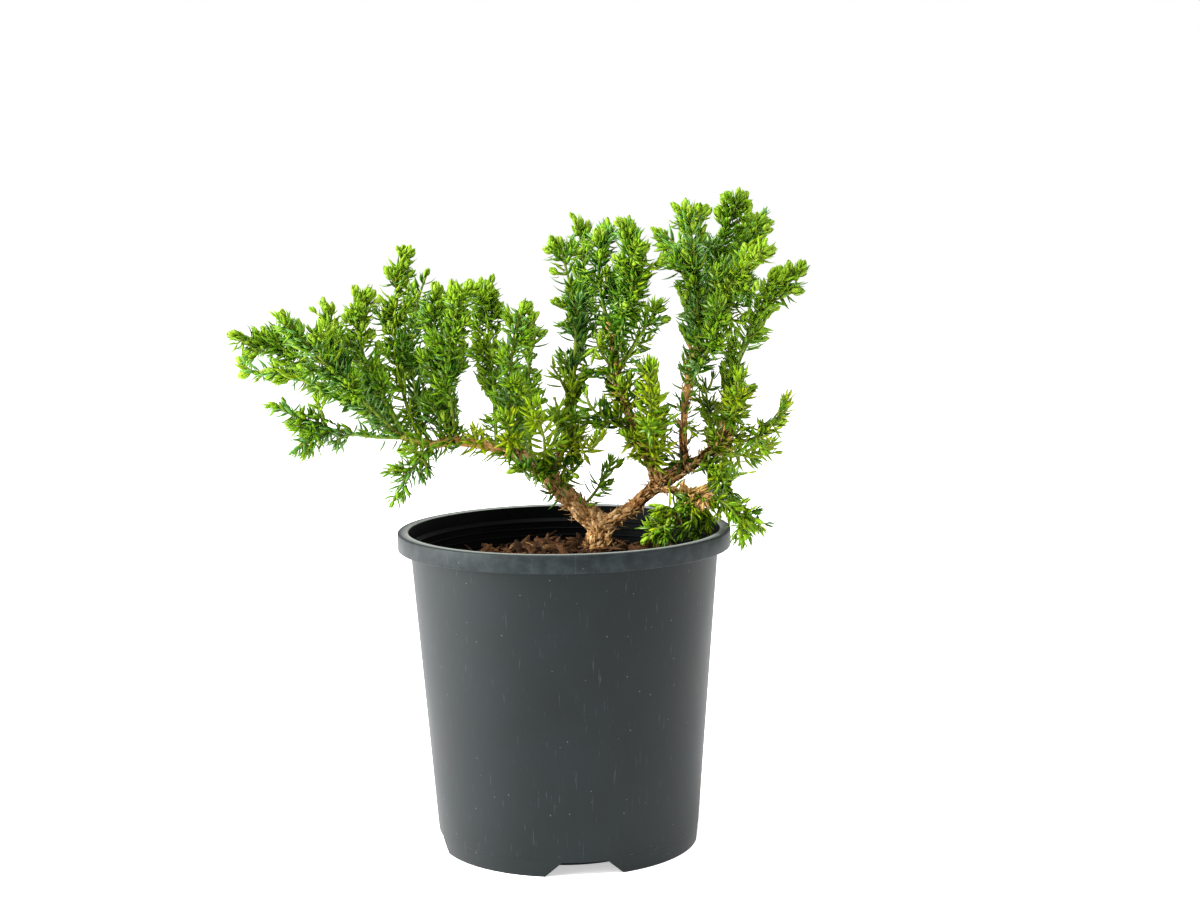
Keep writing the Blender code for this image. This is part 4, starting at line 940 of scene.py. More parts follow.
# %% Rows of small sprigs
SPRIGS = {
    "bough_left": [
        (0.74, (-13, -12, 197), (-17, -18, 201), 9), (0.5, (-9, -2, 175), (-13, -5, 171), 6),
        (0.66, (5, 0, 186), (8, -2, 194), 9), (0.6, (7, -6, 185), (11, -10, 188), 8)],
    "bough_left_outer": [
        (0.36, (-42, -14, 205), (-42, -18, 212), 7), (0.55, (-57, -14, 211), (-58, -16, 219), 9),
        (0.78, (-74, -12, 201), (-78, -13, 201), 8), (0.72, (-67, -12, 195), (-68, -13, 191), 8),
        (0.19, (-34, -8, 195), (-38, -8, 194), 8), (0.61, (-53, -11, 198), (-50, -12, 196), 8),
        (0.5, (-47, -10, 206), (-45, -11, 211), 8), (0.56, (-55, -11, 208), (-55, -12, 216), 8)],
    "bough_right_outer": [
        (0.74, (90, 0, 224), (97, -4, 227), 10), (0.6, (88, -6, 220), (93, -10, 222), 8),
        (0.3, (86, -6, 205), (91, -10, 212), 9), (0.16, (81, -10, 179), (84, -16, 167), 10),
        (0.12, (84, -18, 182), (91, -24, 169), 10), (0.24, (75, -4, 200), (71, -10, 207), 8),
        (0.84, (79, -2, 227), (76, -6, 235), 8), (0.98, (94, 4, 246), (101, 4, 250), 9),
        (0.95, (90, 2, 244), (94, 0, 242), 8), (0.88, (80, -4, 234), (79, -6, 241), 8),
        (0.32, (74, -2, 203), (70, -4, 206), 8)],
    "bough_centre": [
        (0.66, (19, -12, 248), (16, -16, 239), 9), (0.46, (37, -14, 224), (40, -18, 230), 9),
        (0.26, (32, -14, 203), (28, -18, 209), 8), (0.18, (38, -10, 194), (33, -14, 191), 7),
        (0.12, (46, -10, 194), (49, -14, 202), 8), (0.5, (21, 10, 235), (24, 18, 244), 10),
        (0.74, (21, -8, 248), (20, -10, 253), 9), (0.5, (28, -12, 229), (30, -16, 235), 8),
        (0.6, (20, -8, 239), (15, -10, 243), 9), (0.7, (19, -6, 246), (18, -8, 254), 9),
        (0.5, (32, -10, 228), (34, -14, 237), 10), (0.44, (32, -8, 221), (36, -10, 229), 9),
        (0.22, (22, -10, 204), (13, -14, 209), 9), (0.36, (23, -10, 216), (18, -14, 223), 9),
        (0.08, (36, -10, 192), (30, -12, 195), 8), (0.24, (38, -5, 193), (38, -6, 190), 8)],
    "bough_centre_left": [
        (0.12, (3, -8, 187), (8, -14, 183), 6), (0.4, (-3, -4, 215), (-7, -8, 221), 9),
        (0.66, (-3, 2, 235), (-8, 0, 239), 8), (0.22, (5, -8, 202), (11, -14, 209), 9),
        (0.34, (6, -6, 210), (14, -10, 216), 9), (0.52, (6, 0, 224), (9, -4, 232), 8),
        (0.78, (2, 2, 238), (-2, 0, 245), 9), (0.6, (8, 0, 228), (12, -4, 235), 9),
        (0.38, (7, 4, 202), (11, 3, 202), 8), (0.97, (2, 13, 241), (0, 14, 247), 8)],
    "bough_right_upright": [
        (0.24, (63, -12, 215), (67, -16, 219), 8), (0.06, (55, -8, 191), (49, -10, 194), 8),
        (0.6, (65, -8, 228), (68, -10, 231), 8), (0.37, (57, -7, 218), (55, -8, 224), 8),
        (0.32, (63, -7, 206), (66, -8, 203), 8)],
    "twig_lower_right": [
        (0.78, (63, -26, 167), (58, -30, 162), 8), (0.95, (79, -28, 172), (83, -33, 164), 8),
        (0.7, (65, -14, 179), (68, -14, 183), 6), (0.86, (61, -24, 173), (54, -30, 169), 9),
        (0.9, (72, -22, 174), (72, -24, 168), 8)],
    "left_low_spray": [
        (0.5, (-124, -22, 204), (-131, -24, 199), 12), (0.55, (-116, -24, 221), (-117, -28, 228), 8),
        (0.75, (-127, -26, 223), (-129, -28, 229), 7), (0.38, (-108, -22, 205), (-107, -24, 201), 6),
        (0.6, (-127, -22, 213), (-133, -24, 213), 8), (0.52, (-122, -22, 209), (-127, -24, 208), 9),
        (0.76, (-128, -21, 221), (-127, -22, 227), 8), (0.72, (-130, -21, 214), (-134, -22, 214), 7),
        (0.93, (-141, -24, 225), (-144, -25, 229), 7), (0.83, (-135, -22, 222), (-136, -23, 227), 7),
        (0.75, (-127, -21, 220), (-127, -22, 226), 9), (0.62, (-126, -20, 204), (-131, -22, 199), 9)],
    "left_far_top": [
        (0.72, (-149, -14, 249), (-154, -18, 246), 10), (0.7, (-146, -4, 253), (-150, 0, 259), 9),
        (0.62, (-141, -12, 254), (-143, -14, 261), 8), (0.86, (-157, -12, 256), (-160, -14, 259), 7),
        (0.84, (-156, -12, 251), (-160, -16, 253), 7), (0.9, (-158, -11, 255), (-162, -12, 257), 7),
        (0.82, (-148, -10, 255), (-149, -11, 261), 7), (0.86, (-154, -11, 249), (-157, -12, 247), 8),
        (0.31, (-109, -10, 230), (-113, -11, 234), 9)],
    "left_far_middle": [
        (0.66, (-152, 18, 238), (-156, 16, 241), 8), (0.52, (-146, 14, 238), (-148, 12, 243), 8),
        (0.85, (-155, 26, 235), (-158, 27, 239), 8), (0.86, (-156, 26, 229), (-160, 27, 227), 8),
        (0.43, (-118, 8, 225), (-122, 7, 226), 9), (0.3, (-108, 2, 220), (-112, 1, 222), 9),
        (0.91, (-161, 28, 238), (-165, 29, 244), 7)],
    "left_front_fan": [
        (0.72, (-123, -40, 257), (-121, -42, 264), 9), (0.6, (-112, -30, 252), (-108, -30, 263), 10),
        (0.91, (-129, -46, 265), (-131, -47, 270), 7), (0.83, (-122, -45, 260), (-122, -46, 266), 7),
        (0.23, (-97, -23, 218), (-101, -24, 219), 9), (0.31, (-99, -27, 227), (-101, -28, 232), 9)],
    "left_back_fan": [
        (0.83, (-123, 43, 257), (-126, 44, 262), 7), (0.22, (-92, 4, 212), (-95, 3, 212), 9),
        (0.24, (-91, 5, 219), (-93, 4, 225), 9), (0.52, (-108, 27, 234), (-110, 28, 239), 9)],
    "left_shoulder": [
        (0.68, (-93, -28, 271), (-90, -26, 278), 10), (0.84, (-91, -28, 273), (-88, -26, 278), 7),
        (0.77, (-101, -29, 263), (-104, -30, 267), 8), (0.9, (-97, -33, 275), (-97, -34, 281), 7),
        (0.92, (-92, -33, 275), (-89, -34, 280), 7), (0.66, (-91, -26, 255), (-88, -27, 259), 7),
        (0.93, (-96, -33, 277), (-96, -34, 281), 6)],
    "left_spire": [
        (0.78, (-82, 2, 281), (-86, 0, 288), 8), (0.74, (-77, 6, 279), (-73, 10, 285), 8),
        (0.84, (-77, 4, 286), (-74, 4, 292), 6), (0.7, (-87, 4, 271), (-90, 3, 275), 7),
        (0.65, (-84, 4, 267), (-85, 3, 273), 7), (0.83, (-84, 4, 285), (-87, 3, 289), 7),
        (0.8, (-83, 4, 283), (-83, 3, 289), 7), (0.85, (-76, 4, 288), (-74, 3, 293), 7),
        (0.82, (-75, 4, 283), (-71, 3, 287), 6), (0.6, (-79, 4, 262), (-77, 3, 267), 7),
        (0.23, (-80, -4, 225), (-82, -5, 230), 9), (0.33, (-79, -1, 236), (-79, -2, 242), 9),
        (0.56, (-86, 4, 256), (-88, 3, 259), 8)],
    "left_back_tall": [
        (0.92, (-69, 51, 281), (-68, 52, 287), 7), (0.23, (-78, 7, 216), (-83, 6, 219), 8)],
    "left_upright": [
        (0.88, (-59, -23, 276), (-59, -24, 282), 7), (0.55, (-63, -17, 249), (-65, -19, 255), 7),
        (0.24, (-63, -13, 224), (-65, -14, 229), 7), (0.9, (-59, -23, 277), (-59, -24, 281), 6)],
    "left_inner_back": [
        (0.92, (-58, 34, 276), (-58, 35, 282), 6), (0.22, (-64, 2, 217), (-70, 1, 221), 7),
        (0.22, (-55, 3, 220), (-54, 3, 224), 9), (0.92, (-56, 34, 276), (-57, 35, 281), 6)],
    "left_inner_front": [
        (0.9, (-43, -36, 278), (-41, -37, 283), 7), (0.63, (-47, -29, 255), (-44, -30, 259), 8),
        (0.92, (-43, -36, 279), (-42, -36, 283), 6)],
    "left_heart": [
        (0.78, (-38, 2, 270), (-40, 0, 278), 8), (0.84, (-34, 6, 271), (-30, 6, 276), 7),
        (0.5, (-39, 0, 248), (-43, -4, 257), 9), (0.8, (-40, 0, 273), (-43, -4, 280), 8),
        (0.86, (-35, 2, 275), (-33, 0, 280), 7), (0.72, (-32, 8, 264), (-28, 8, 270), 8),
        (0.88, (-36, 4, 275), (-36, 3, 281), 7), (0.85, (-34, 5, 272), (-32, 4, 277), 7),
        (0.44, (-39, 3, 236), (-42, 2, 240), 8), (0.35, (-39, 2, 229), (-42, 1, 233), 8),
        (0.27, (-36, 0, 224), (-37, -1, 229), 9)],
    "left_heart_front": [
        (0.66, (-15, -28, 259), (-9, -28, 267), 9), (0.84, (-15, -26, 268), (-14, -24, 272), 7),
        (0.62, (-22, -24, 260), (-26, -20, 266), 8), (0.9, (-23, -30, 267), (-26, -31, 272), 8),
        (0.8, (-24, -29, 260), (-25, -30, 265), 7), (0.89, (-18, -30, 267), (-17, -31, 272), 7),
        (0.9, (-16, -31, 268), (-13, -32, 272), 7), (0.9, (-23, -31, 267), (-26, -32, 272), 7)],
    "left_heart_back": [
        (0.6, (-16, 44, 243), (-11, 46, 246), 8), (0.8, (-12, 44, 257), (-10, 44, 265), 8),
        (0.92, (-12, 52, 259), (-11, 53, 265), 7), (0.65, (-15, 42, 235), (-13, 43, 240), 7),
        (0.67, (-11, 44, 234), (-5, 45, 238), 8), (0.87, (-11, 50, 251), (-8, 51, 254), 9)],
    "left_bush_right": [
        (0.93, (-7, -15, 228), (-8, -16, 235), 8)],
    "left_under_spray": [
        (0.55, (-80, -18, 190), (-87, -20, 188), 7), (0.3, (-67, -16, 193), (-65, -16, 186), 7),
        (0.2, (-71, -20, 199), (-81, -24, 201), 8), (0.45, (-79, -16, 190), (-84, -18, 192), 8),
        (0.39, (-69, -16, 186), (-68, -17, 183), 9)],
    "centre_left_spray": [
        (0.35, (-3, 18, 257), (-12, 14, 251), 8), (0.55, (-3, 22, 279), (-7, 20, 285), 8),
        (0.4, (-2, 16, 267), (-8, 12, 272), 8), (0.78, (-2, 22, 293), (-6, 20, 300), 7),
        (0.55, (-6, 20, 277), (-11, 18, 279), 7), (0.88, (-4, 22, 298), (-4, 22, 303), 7),
        (0.69, (-2, 22, 283), (-6, 24, 286), 6), (0.85, (0, 24, 296), (0, 25, 302), 7),
        (0.55, (-2, 21, 275), (-7, 22, 278), 8), (0.45, (0, 20, 268), (-4, 21, 271), 8)],
    "centre_left_low": [
        (0.85, (16, -8, 233), (20, -10, 235), 8)],
    "centre_left_back": [
        (0.9, (8, 46, 306), (6, 44, 311), 7), (0.9, (8, 52, 306), (7, 53, 312), 7),
        (0.88, (13, 52, 304), (14, 53, 310), 6)],
    "centre_crown": [
        (0.84, (20, -10, 301), (18, -10, 306), 6), (0.8, (24, -8, 300), (23, -6, 311), 7),
        (0.81, (18, -11, 301), (17, -12, 306), 7), (0.38, (23, -9, 280), (25, -10, 285), 7)],
    "centre_front": [
        (0.5, (42, -36, 286), (51, -40, 291), 9), (0.66, (39, -38, 293), (43, -42, 298), 8),
        (0.8, (34, -42, 303), (36, -40, 309), 7), (0.83, (31, -44, 301), (29, -45, 306), 6),
        (0.35, (37, -28, 267), (41, -29, 271), 7)],
    "centre_back": [
        (0.78, (37, 26, 296), (39, 26, 303), 7), (0.82, (40, 30, 293), (42, 31, 298), 7)],
    "centre_side": [
        (0.22, (31, -10, 245), (31, -11, 249), 8), (0.22, (36, -10, 245), (38, -11, 249), 8),
        (0.82, (50, -16, 266), (53, -17, 268), 8), (0.73, (49, -16, 261), (54, -17, 262), 9)],
    "centre_bush_back": [
        (0.35, (45, 12, 203), (52, 14, 207), 8)],
    "centre_bush_front": [
        (0.45, (45, -22, 214), (51, -24, 217), 8), (0.7, (45, -24, 233), (47, -26, 241), 9),
        (0.4, (48, -22, 209), (55, -24, 216), 8), (0.92, (38, -34, 239), (35, -35, 244), 8),
        (0.91, (42, -33, 239), (42, -34, 245), 8)],
    "centre_low_left": [
        (0.78, (13, -20, 222), (12, -21, 228), 8), (0.53, (19, -16, 217), (19, -17, 223), 9),
        (0.44, (18, -14, 210), (14, -15, 210), 8)],
    "centre_spray": [
        (0.71, (18, -18, 203), (20, -19, 208), 8)],
    "fork_sprig": [
        (0.73, (26, 6, 187), (29, 5, 191), 8), (0.45, (19, 7, 181), (19, 6, 187), 8)],
    "right_heart": [
        (0.6, (79, -24, 254), (83, -25, 256), 8), (0.44, (76, -20, 247), (80, -21, 250), 8)],
    "right_heart_back": [
        (0.48, (62, 12, 249), (61, 13, 255), 8)],
    "right_middle_back": [
        (0.77, (75, 27, 226), (76, 28, 232), 8), (0.66, (71, 26, 221), (70, 27, 227), 8)],
    "right_crown": [
        (0.66, (75, 2, 305), (74, 0, 312), 7), (0.8, (81, 6, 315), (80, 6, 322), 7),
        (0.72, (91, 4, 310), (94, 4, 317), 8), (0.9, (85, 4, 316), (82, 4, 323), 6),
        (0.92, (90, 6, 317), (92, 6, 323), 6), (0.75, (79, 4, 309), (76, 3, 315), 7),
        (0.67, (77, 4, 305), (75, 3, 310), 7), (0.91, (83, 4, 318), (81, 3, 323), 6),
        (0.86, (91, 4, 314), (94, 3, 318), 7), (0.92, (89, 5, 319), (91, 4, 323), 6),
        (0.91, (84, 5, 318), (82, 4, 323), 6)],
    "right_crown_left": [
        (0.72, (59, -20, 308), (55, -22, 316), 8), (0.45, (52, -16, 289), (48, -14, 293), 9),
        (0.34, (53, -12, 282), (47, -12, 284), 8), (0.52, (54, -14, 294), (46, -14, 296), 9),
        (0.8, (68, -16, 309), (71, -14, 316), 8), (0.91, (57, -23, 314), (54, -24, 318), 7),
        (0.84, (63, -23, 310), (63, -24, 316), 8), (0.87, (67, -24, 311), (71, -25, 317), 7)],
    "right_crown_outlier": [
        (0.8, (50, 26, 299), (47, 24, 306), 7), (0.88, (49, 28, 302), (45, 29, 306), 6),
        (0.78, (55, 26, 299), (54, 27, 304), 6)],
    "right_crown_back": [
        (0.78, (99, 38, 307), (101, 40, 314), 8), (0.62, (103, 38, 301), (108, 38, 303), 7),
        (0.48, (103, 34, 291), (109, 34, 294), 7), (0.88, (102, 46, 306), (104, 47, 312), 7),
        (0.88, (104, 46, 305), (107, 47, 309), 7), (0.88, (105, 46, 302), (109, 47, 304), 6),
        (0.93, (106, 46, 306), (109, 47, 308), 6)],
    "right_crown_front": [
        (0.6, (91, -38, 275), (93, -40, 281), 8), (0.36, (84, -20, 260), (90, -24, 265), 9),
        (0.62, (95, -36, 287), (100, -38, 289), 7), (0.88, (99, -41, 293), (102, -42, 296), 6),
        (0.93, (100, -42, 297), (102, -44, 304), 6)],
    "right_far_spray": [
        (0.62, (101, -6, 277), (105, -10, 286), 9), (0.72, (110, -4, 273), (118, -6, 274), 8),
        (0.8, (108, -6, 278), (109, -8, 286), 7), (0.46, (105, 0, 280), (107, 0, 286), 7),
        (0.84, (111, -2, 282), (112, -2, 288), 7), (0.9, (116, -2, 284), (118, -2, 289), 6),
        (0.79, (108, -2, 280), (107, -3, 287), 7), (0.87, (112, -2, 283), (112, -3, 289), 6),
        (0.75, (115, -1, 273), (120, -3, 274), 8), (0.43, (93, 1, 260), (93, 0, 266), 8)],
    "right_far_back": [
        (0.5, (96, 30, 251), (102, 34, 247), 8), (0.82, (106, 36, 260), (111, 36, 265), 6),
        (0.83, (109, 37, 260), (113, 38, 264), 7), (0.57, (101, 28, 248), (105, 29, 250), 7),
        (0.86, (108, 37, 261), (110, 38, 264), 8)],
    "right_upright_front": [
        (0.59, (92, -20, 223), (97, -22, 227), 9), (0.23, (87, -7, 212), (90, -8, 215), 8)],
    "right_low_spray": [
        (0.45, (95, -14, 200), (101, -18, 194), 8), (0.5, (98, -10, 213), (99, -10, 218), 7),
        (0.3, (95, -12, 194), (99, -14, 190), 8)],
    "right_low_front": [
        (0.92, (90, -29, 188), (94, -30, 192), 8), (0.5, (83, -16, 182), (87, -17, 183), 8)],
    "rim_spray_middle": [
        (0.6, (61, -22, 163), (56, -28, 155), 9)],
    "rim_spray_right": [
        (0.7, (94, -26, 163), (96, -26, 157), 8), (0.55, (86, -28, 160), (86, -28, 151), 7),
        (0.36, (77, -24, 170), (74, -28, 165), 8), (0.76, (88, -26, 166), (91, -28, 160), 8),
        (0.8, (89, -26, 160), (90, -26, 155), 8), (0.4, (85, -25, 170), (89, -26, 171), 9),
        (0.86, (88, -28, 156), (86, -29, 152), 8), (0.46, (86, -25, 172), (89, -26, 175), 10)],
    "rim_spray_left": [
        (0.55, (44, -32, 160), (37, -36, 154), 6), (0.45, (51, -26, 171), (44, -30, 170), 7),
        (0.3, (51, -22, 174), (48, -26, 166), 8), (0.4, (49, -26, 171), (43, -30, 167), 8),
        (0.6, (49, -30, 162), (50, -34, 156), 9), (0.7, (43, -28, 160), (40, -30, 164), 8)],
    "left_bush_low": [
        (0.78, (-31, -28, 215), (-35, -29, 219), 8)],
    "left_under_tuft": [
        (0.33, (-17, -10, 184), (-20, -11, 183), 8)],
}
# twigs that have died and kept their dry needles
DEAD_SPRIGS = {
    "rim_spray_left": [
        (0.3, (53, -26, 167), (50, -32, 162), 6)],
    "twig_lower_right": [
        (0.72, (67, -26, 176), (66, -30, 171), 7), (0.79, (65, -24, 177), (68, -25, 180), 6),
        (0.86, (67, -25, 176), (71, -26, 177), 6), (0.71, (64, -23, 174), (66, -24, 173), 6),
        (0.57, (61, -21, 177), (64, -22, 179), 6), (0.79, (66, -24, 174), (70, -25, 174), 6)],
    "bough_centre": [
        (0.16, (40, -8, 199), (38, -10, 207), 6)],
    "bough_right_upright": [
        (0.72, (66, -8, 247), (67, -8, 253), 6)],
    "bough_right_outer": [
        (0.24, (78, -4, 201), (78, -6, 209), 7)],
}


# %% Growing every mass
LOW_MASSES = ("left_low_spray", "left_bush", "left_bush_low", "left_bush_right", "left_under_spray",
              "left_under_tuft", "centre_bush_back", "centre_bush_front", "centre_low_left",
              "centre_spray", "centre_left_low", "centre_side", "fork_sprig", "right_low_spray",
              "right_low_back", "right_low_front", "right_low_tuft", "rim_spray_middle",
              "rim_spray_right", "rim_spray_left", "right_middle_back", "right_upright_front")
SPRIG_BARE = 0.08
sprigs = {}
for table, state in ((SPRIGS, ""), (DEAD_SPRIGS, "dead ")):
    for carrier, rows in table.items():
        for count, row in enumerate(rows):
            sprigs[f"{state}{carrier} {count}"] = (carrier, *row, SPRIG_BARE)
ALL_LOW = set(LOW_MASSES) | {name for name, row in sprigs.items()
                             if row[0] in LIMBS or row[0] in LOW_MASSES}
FINER_FROM = 16.0 * MM          # a side shoot as long as this carries twigs of its own
FINER_STEP = 11.0 * MM
CROWD_FROM = 10.0 * MM
CROWD_STEP = 8.2 * MM
CROWD_LONGEST = 9.0 * MM
CROWD_LIME = 0.65               # of a shoot's chance of a lime bud is left to the twigs round it
shoots = []                     # (mass, path, order, height in the mass, whether it ends in a bud)


def crowd(name, path, height, lime, seed, dice):
    """Short twigs round the last part of a shoot, none of them reaching past its tip."""
    length = MM * (len(path) - 1)
    if length < CROWD_FROM:
        return
    last = path[int(len(path) * 0.45):]
    for twig, up in shoots_on(name, last, min(CROWD_LONGEST, 0.6 * length), 1 * MM, seed, CROWD_STEP,
                              4 * MM, 0.35):
        twig = twig[:int((1 - up) * len(last) * 0.75) + 3]
        if len(twig) > 4:
            shoots.append((name, twig, 2, height, dice.random() < lime))


def grow(name, row, seed):
    """One mass or sprig: its stem, its side shoots, their twigs and the crowd at each tip."""
    reach, bare = row[4] * MM, row[5]
    low, small = name in ALL_LOW, name in sprigs
    dice = random.Random(seed * 77)
    stem = stem_path(row)[:-int(STEM_END / MM)]
    if small:
        stem = kept_part(name, stem, skip=clear_of_wood(name, stem))
    length = MM * (len(stem) - 1)
    shoots.append((name, stem, 0, 0.9 if small else 0.5, dice.random() < (0.3 if low else 0.97)))
    start = max(bare * length, 6 * MM)
    sides = shoots_on(name, stem, reach, start + 2 * MM, seed, SHOOT_STEP, 6 * MM)
    if not low and not small:
        sides += shoots_on(name, stem, 0.75 * reach, start + 2 * MM + 0.5 * SHOOT_STEP, seed + 500,
                           SHOOT_STEP, 5 * MM)
    for count, (path, share) in enumerate(sides):
        lime = 0.10 if low else 0.10 + 0.90 * share ** 1.5
        shoots.append((name, path, 1, share, dice.random() < lime))
        side_length = MM * (len(path) - 1)
        if side_length > FINER_FROM and not low:
            for twig, up in shoots_on(name, path, 0.55 * side_length, 4 * MM, seed + 900 + 31 * count,
                                      FINER_STEP, 5 * MM):
                shoots.append((name, twig, 2, share, dice.random() < lime))
        if not low:
            crowd(name, path, share, CROWD_LIME * lime, seed + 5000 + count, dice)
    if not (low and small):
        crowd(name, stem, 1.0, 0.2 if low else 0.8, seed + 1300, dice)


for count, (name, row) in enumerate(MASSES.items()):
    grow(name, row, SEED + count)
for count, (name, row) in enumerate(sprigs.items()):
    grow(name, row, 400 + count)
print(len(shoots), "shoots,", round(sum(len(shoot[1]) for shoot in shoots) * MM, 1), "m long")


# %% [markdown]
# ## Twigs
#
# Under the needles the shoots are thin stems, yellow green while they are young and brown at their
# feet. A twig is a five-sided tube along its path, joined with all the others of its colour.

# %% Twig tubes
TWIG_SIDES = 5
CORE_BY_ORDER = (1.0 * MM, 0.65 * MM, 0.5 * MM)


def tube_arrays(path, radii, sides=TWIG_SIDES):
    """Points and triangles of a closed tube along a path."""
    ahead, side, back = path_frames(path)
    turns = np.arange(sides) * 2 * math.pi / sides
    around = np.cos(turns)[None, :, None] * side[:, None] + np.sin(turns)[None, :, None] * back[:, None]
    rings = path[:, None] + around * radii[:, None, None]
    points = np.vstack([rings.reshape(-1, 3), path[:1], path[-1:] + ahead[-1:] * radii[-1]])
    triangles = []
    last = len(path) - 1
    foot, tip = len(points) - 2, len(points) - 1
    for ring in range(last):
        for at in range(sides):
            here, there = ring * sides + at, ring * sides + (at + 1) % sides
            triangles += [(here, there, there + sides), (here, there + sides, here + sides)]
    for at in range(sides):
        following = (at + 1) % sides
        triangles += [(foot, following, at), (tip, last * sides + at, last * sides + following)]
    return points, np.array(triangles)


def joined(name, parts):
    """One object from a list of (points, triangles)."""
    points, triangles, reached = [], [], 0
    for some_points, some_triangles in parts:
        points.append(some_points)
        triangles.append(some_triangles + reached)
        reached += len(some_points)
    return mesh_piece(name, np.vstack(points), np.vstack(triangles))


green_twigs, brown_twigs = [], []
for name, path, order, share, bud in shoots:
    path = along(path, 2.2 * MM)
    core = CORE_BY_ORDER[order]
    up = np.linspace(0, 1, len(path))
    radii = core * (1 - 0.45 * up)
    brown = 0.06 if order == 0 else 0.0
    cut_at = int(len(path) * brown)
    if cut_at >= 2:
        brown_twigs.append(tube_arrays(path[:cut_at + 1], radii[:cut_at + 1]))
    green_twigs.append(tube_arrays(path[cut_at:], radii[cut_at:]))
green_wood = joined("young_stems", green_twigs)
brown_wood = joined("woody_stems", brown_twigs)


# %% Finish of the twigs
def soft_stem():
    """Juicy young stem, yellow green with paler ribs: a dull sheen."""
    made, tree, shader, coords = new_material("young_juniper_stem", "7C8C2A", 0.6, 0.12)
    ribs = add_node(tree, "ShaderNodeTexNoise", values={"Scale": 420, "Detail": 3},
                    links={"Vector": coords}).outputs["Fac"]
    tone = add_node(tree, "ShaderNodeValToRGB", links={"Fac": ribs},
                    stops=[(0.3, "4E6014"), (0.7, "788A2C")]).outputs["Color"]
    tree.links.new(tone, shader.inputs["Base Color"])
    ribbed = add_node(tree, "ShaderNodeBump", values={"Strength": 0.4, "Distance": 0.15 * MM},
                      links={"Height": ribs}).outputs["Normal"]
    tree.links.new(ribbed, shader.inputs["Normal"])
    return made


def woody_stem():
    """Two-year-old stem: light brown, dry and slightly fibrous."""
    made, tree, shader, coords = new_material("woody_juniper_stem", "96744A", 0.85, 0.12)
    fibres = add_node(tree, "ShaderNodeTexNoise", values={"Scale": 600, "Detail": 4},
                      links={"Vector": coords}).outputs["Fac"]
    tone = add_node(tree, "ShaderNodeValToRGB", links={"Fac": fibres},
                    stops=[(0.3, "6E5230"), (0.7, "B8905C")]).outputs["Color"]
    tree.links.new(tone, shader.inputs["Base Color"])
    fibrous = add_node(tree, "ShaderNodeBump", values={"Strength": 0.5, "Distance": 0.15 * MM},
                       links={"Height": fibres}).outputs["Normal"]
    tree.links.new(fibrous, shader.inputs["Normal"])
    return made


settle(green_wood, soft_stem(), "centre_crown", *MASSES)
settle(brown_wood, woody_stem(), "left_heart")


# %% [markdown]
# ## Needles
#
# The needles stand in whorls of three. Each is an awl: narrow where it joins the stem, widest at a
# third, then drawn out to a sharp point that curves towards the shoot's tip. It is flat above and
# keeled below, so eleven points and eighteen triangles are enough for it. Towards a tip that is still
# growing the leaves get shorter and broader, and the last whorls close over each other and make the
# plump bud.

# %% Shape of one needle
def spindle_faces(rings, around):
    """Triangles of a closed spindle: a first point, rings of points counter-clockwise, a last point."""
    faces = []
    last = 1 + (rings - 1) * around
    for at in range(around):
        following = (at + 1) % around
        faces.append((0, 1 + following, 1 + at))
        faces.append((last + around, last + at, last + following))
        for ring in range(rings - 1):
            here, there = 1 + ring * around + at, 1 + ring * around + following
            faces += [(here, there, there + around), (here, there + around, here + around)]
    return np.array(faces)


def blade(rings, point):
    """A blade's points from rings of (place, half width, edge's lift, keel's drop) and its point."""
    points = [(0, 0, 0)]
    for place, half, lift, keel in rings:
        points += [(-half, lift, place), (0, lift - keel, place), (half, lift, place)]
    return np.array([*points, point])


# across as a share of the width, up and along as shares of the length
NEEDLE_SHAPE = blade([(0.10, 0.28, 0.0, 0.05), (0.34, 0.50, 0.01, 0.07), (0.66, 0.34, 0.07, 0.05)],
                     (0, 0.22, 1.0))
# a bud's scale is broader and blunt, and bent so that its end closes over the bud
SCALE_SHAPE = blade([(0.15, 0.34, 0.0, 0.08), (0.50, 0.50, 0.05, 0.11), (0.84, 0.34, 0.20, 0.08)],
                    (0, 0.34, 1.0))
NEEDLE_FACES = spindle_faces(3, 3)
# the pale stripe of wax and pores along the flat upper side
STRIPE_SHAPE = blade([(0.48, 0.20, 0.055, 0.03)], (0, 0.16, 0.86))
STRIPE_SHAPE[0] = (0, 0.02, 0.16)
STRIPE_FACES = spindle_faces(1, 3)
# from whorl to whorl, length and width: slender on shoots in the light, long and apart low down
HIGH_NEEDLES = (2.6 * MM, 9.0 * MM, 2.0 * MM)
LOW_NEEDLES = (2.9 * MM, 9.8 * MM, 2.1 * MM)
STEM_NEEDLES = (2.4 * MM, 9.6 * MM, 2.0 * MM)
RIM_NEEDLES = (4.4 * MM, 10.2 * MM, 2.7 * MM)
RIM_NAMES = ("rim", "twig_lower_right")     # the lush sprays over the pot's rim
NEEDLE_SPREAD = (78, 60)        # degrees from the stem, at a shoot's foot and near its tip
NARROWING = 11.0 * MM           # over this last part of a shoot the leaves get shorter
SHORTEST = 0.58                 # of their length
YOUNG_BREADTH = 1.2
# back from the end, lean, length, width
BUD_WHORLS = [(4.4, 54, 4.8, 1.8), (3.0, 32, 4.4, 2.3), (1.7, 16, 3.9, 2.3), (0.7, 6, 3.0, 1.8)]
LIME_FROM = 1                   # of these whorls the first is still leaf green
LEAFY_TIP = [(1.0, 38, 5.8, 1.4), (0.0, 18, 4.8, 1.3)]
NEEDLE_CLEAR = 0.4 * MM
INTO_SKY = 0.8                  # beyond this share of its length a needle may reach into an opening
NARROW = 3.4                    # mm, but not into one that is less wide to each side of its middle


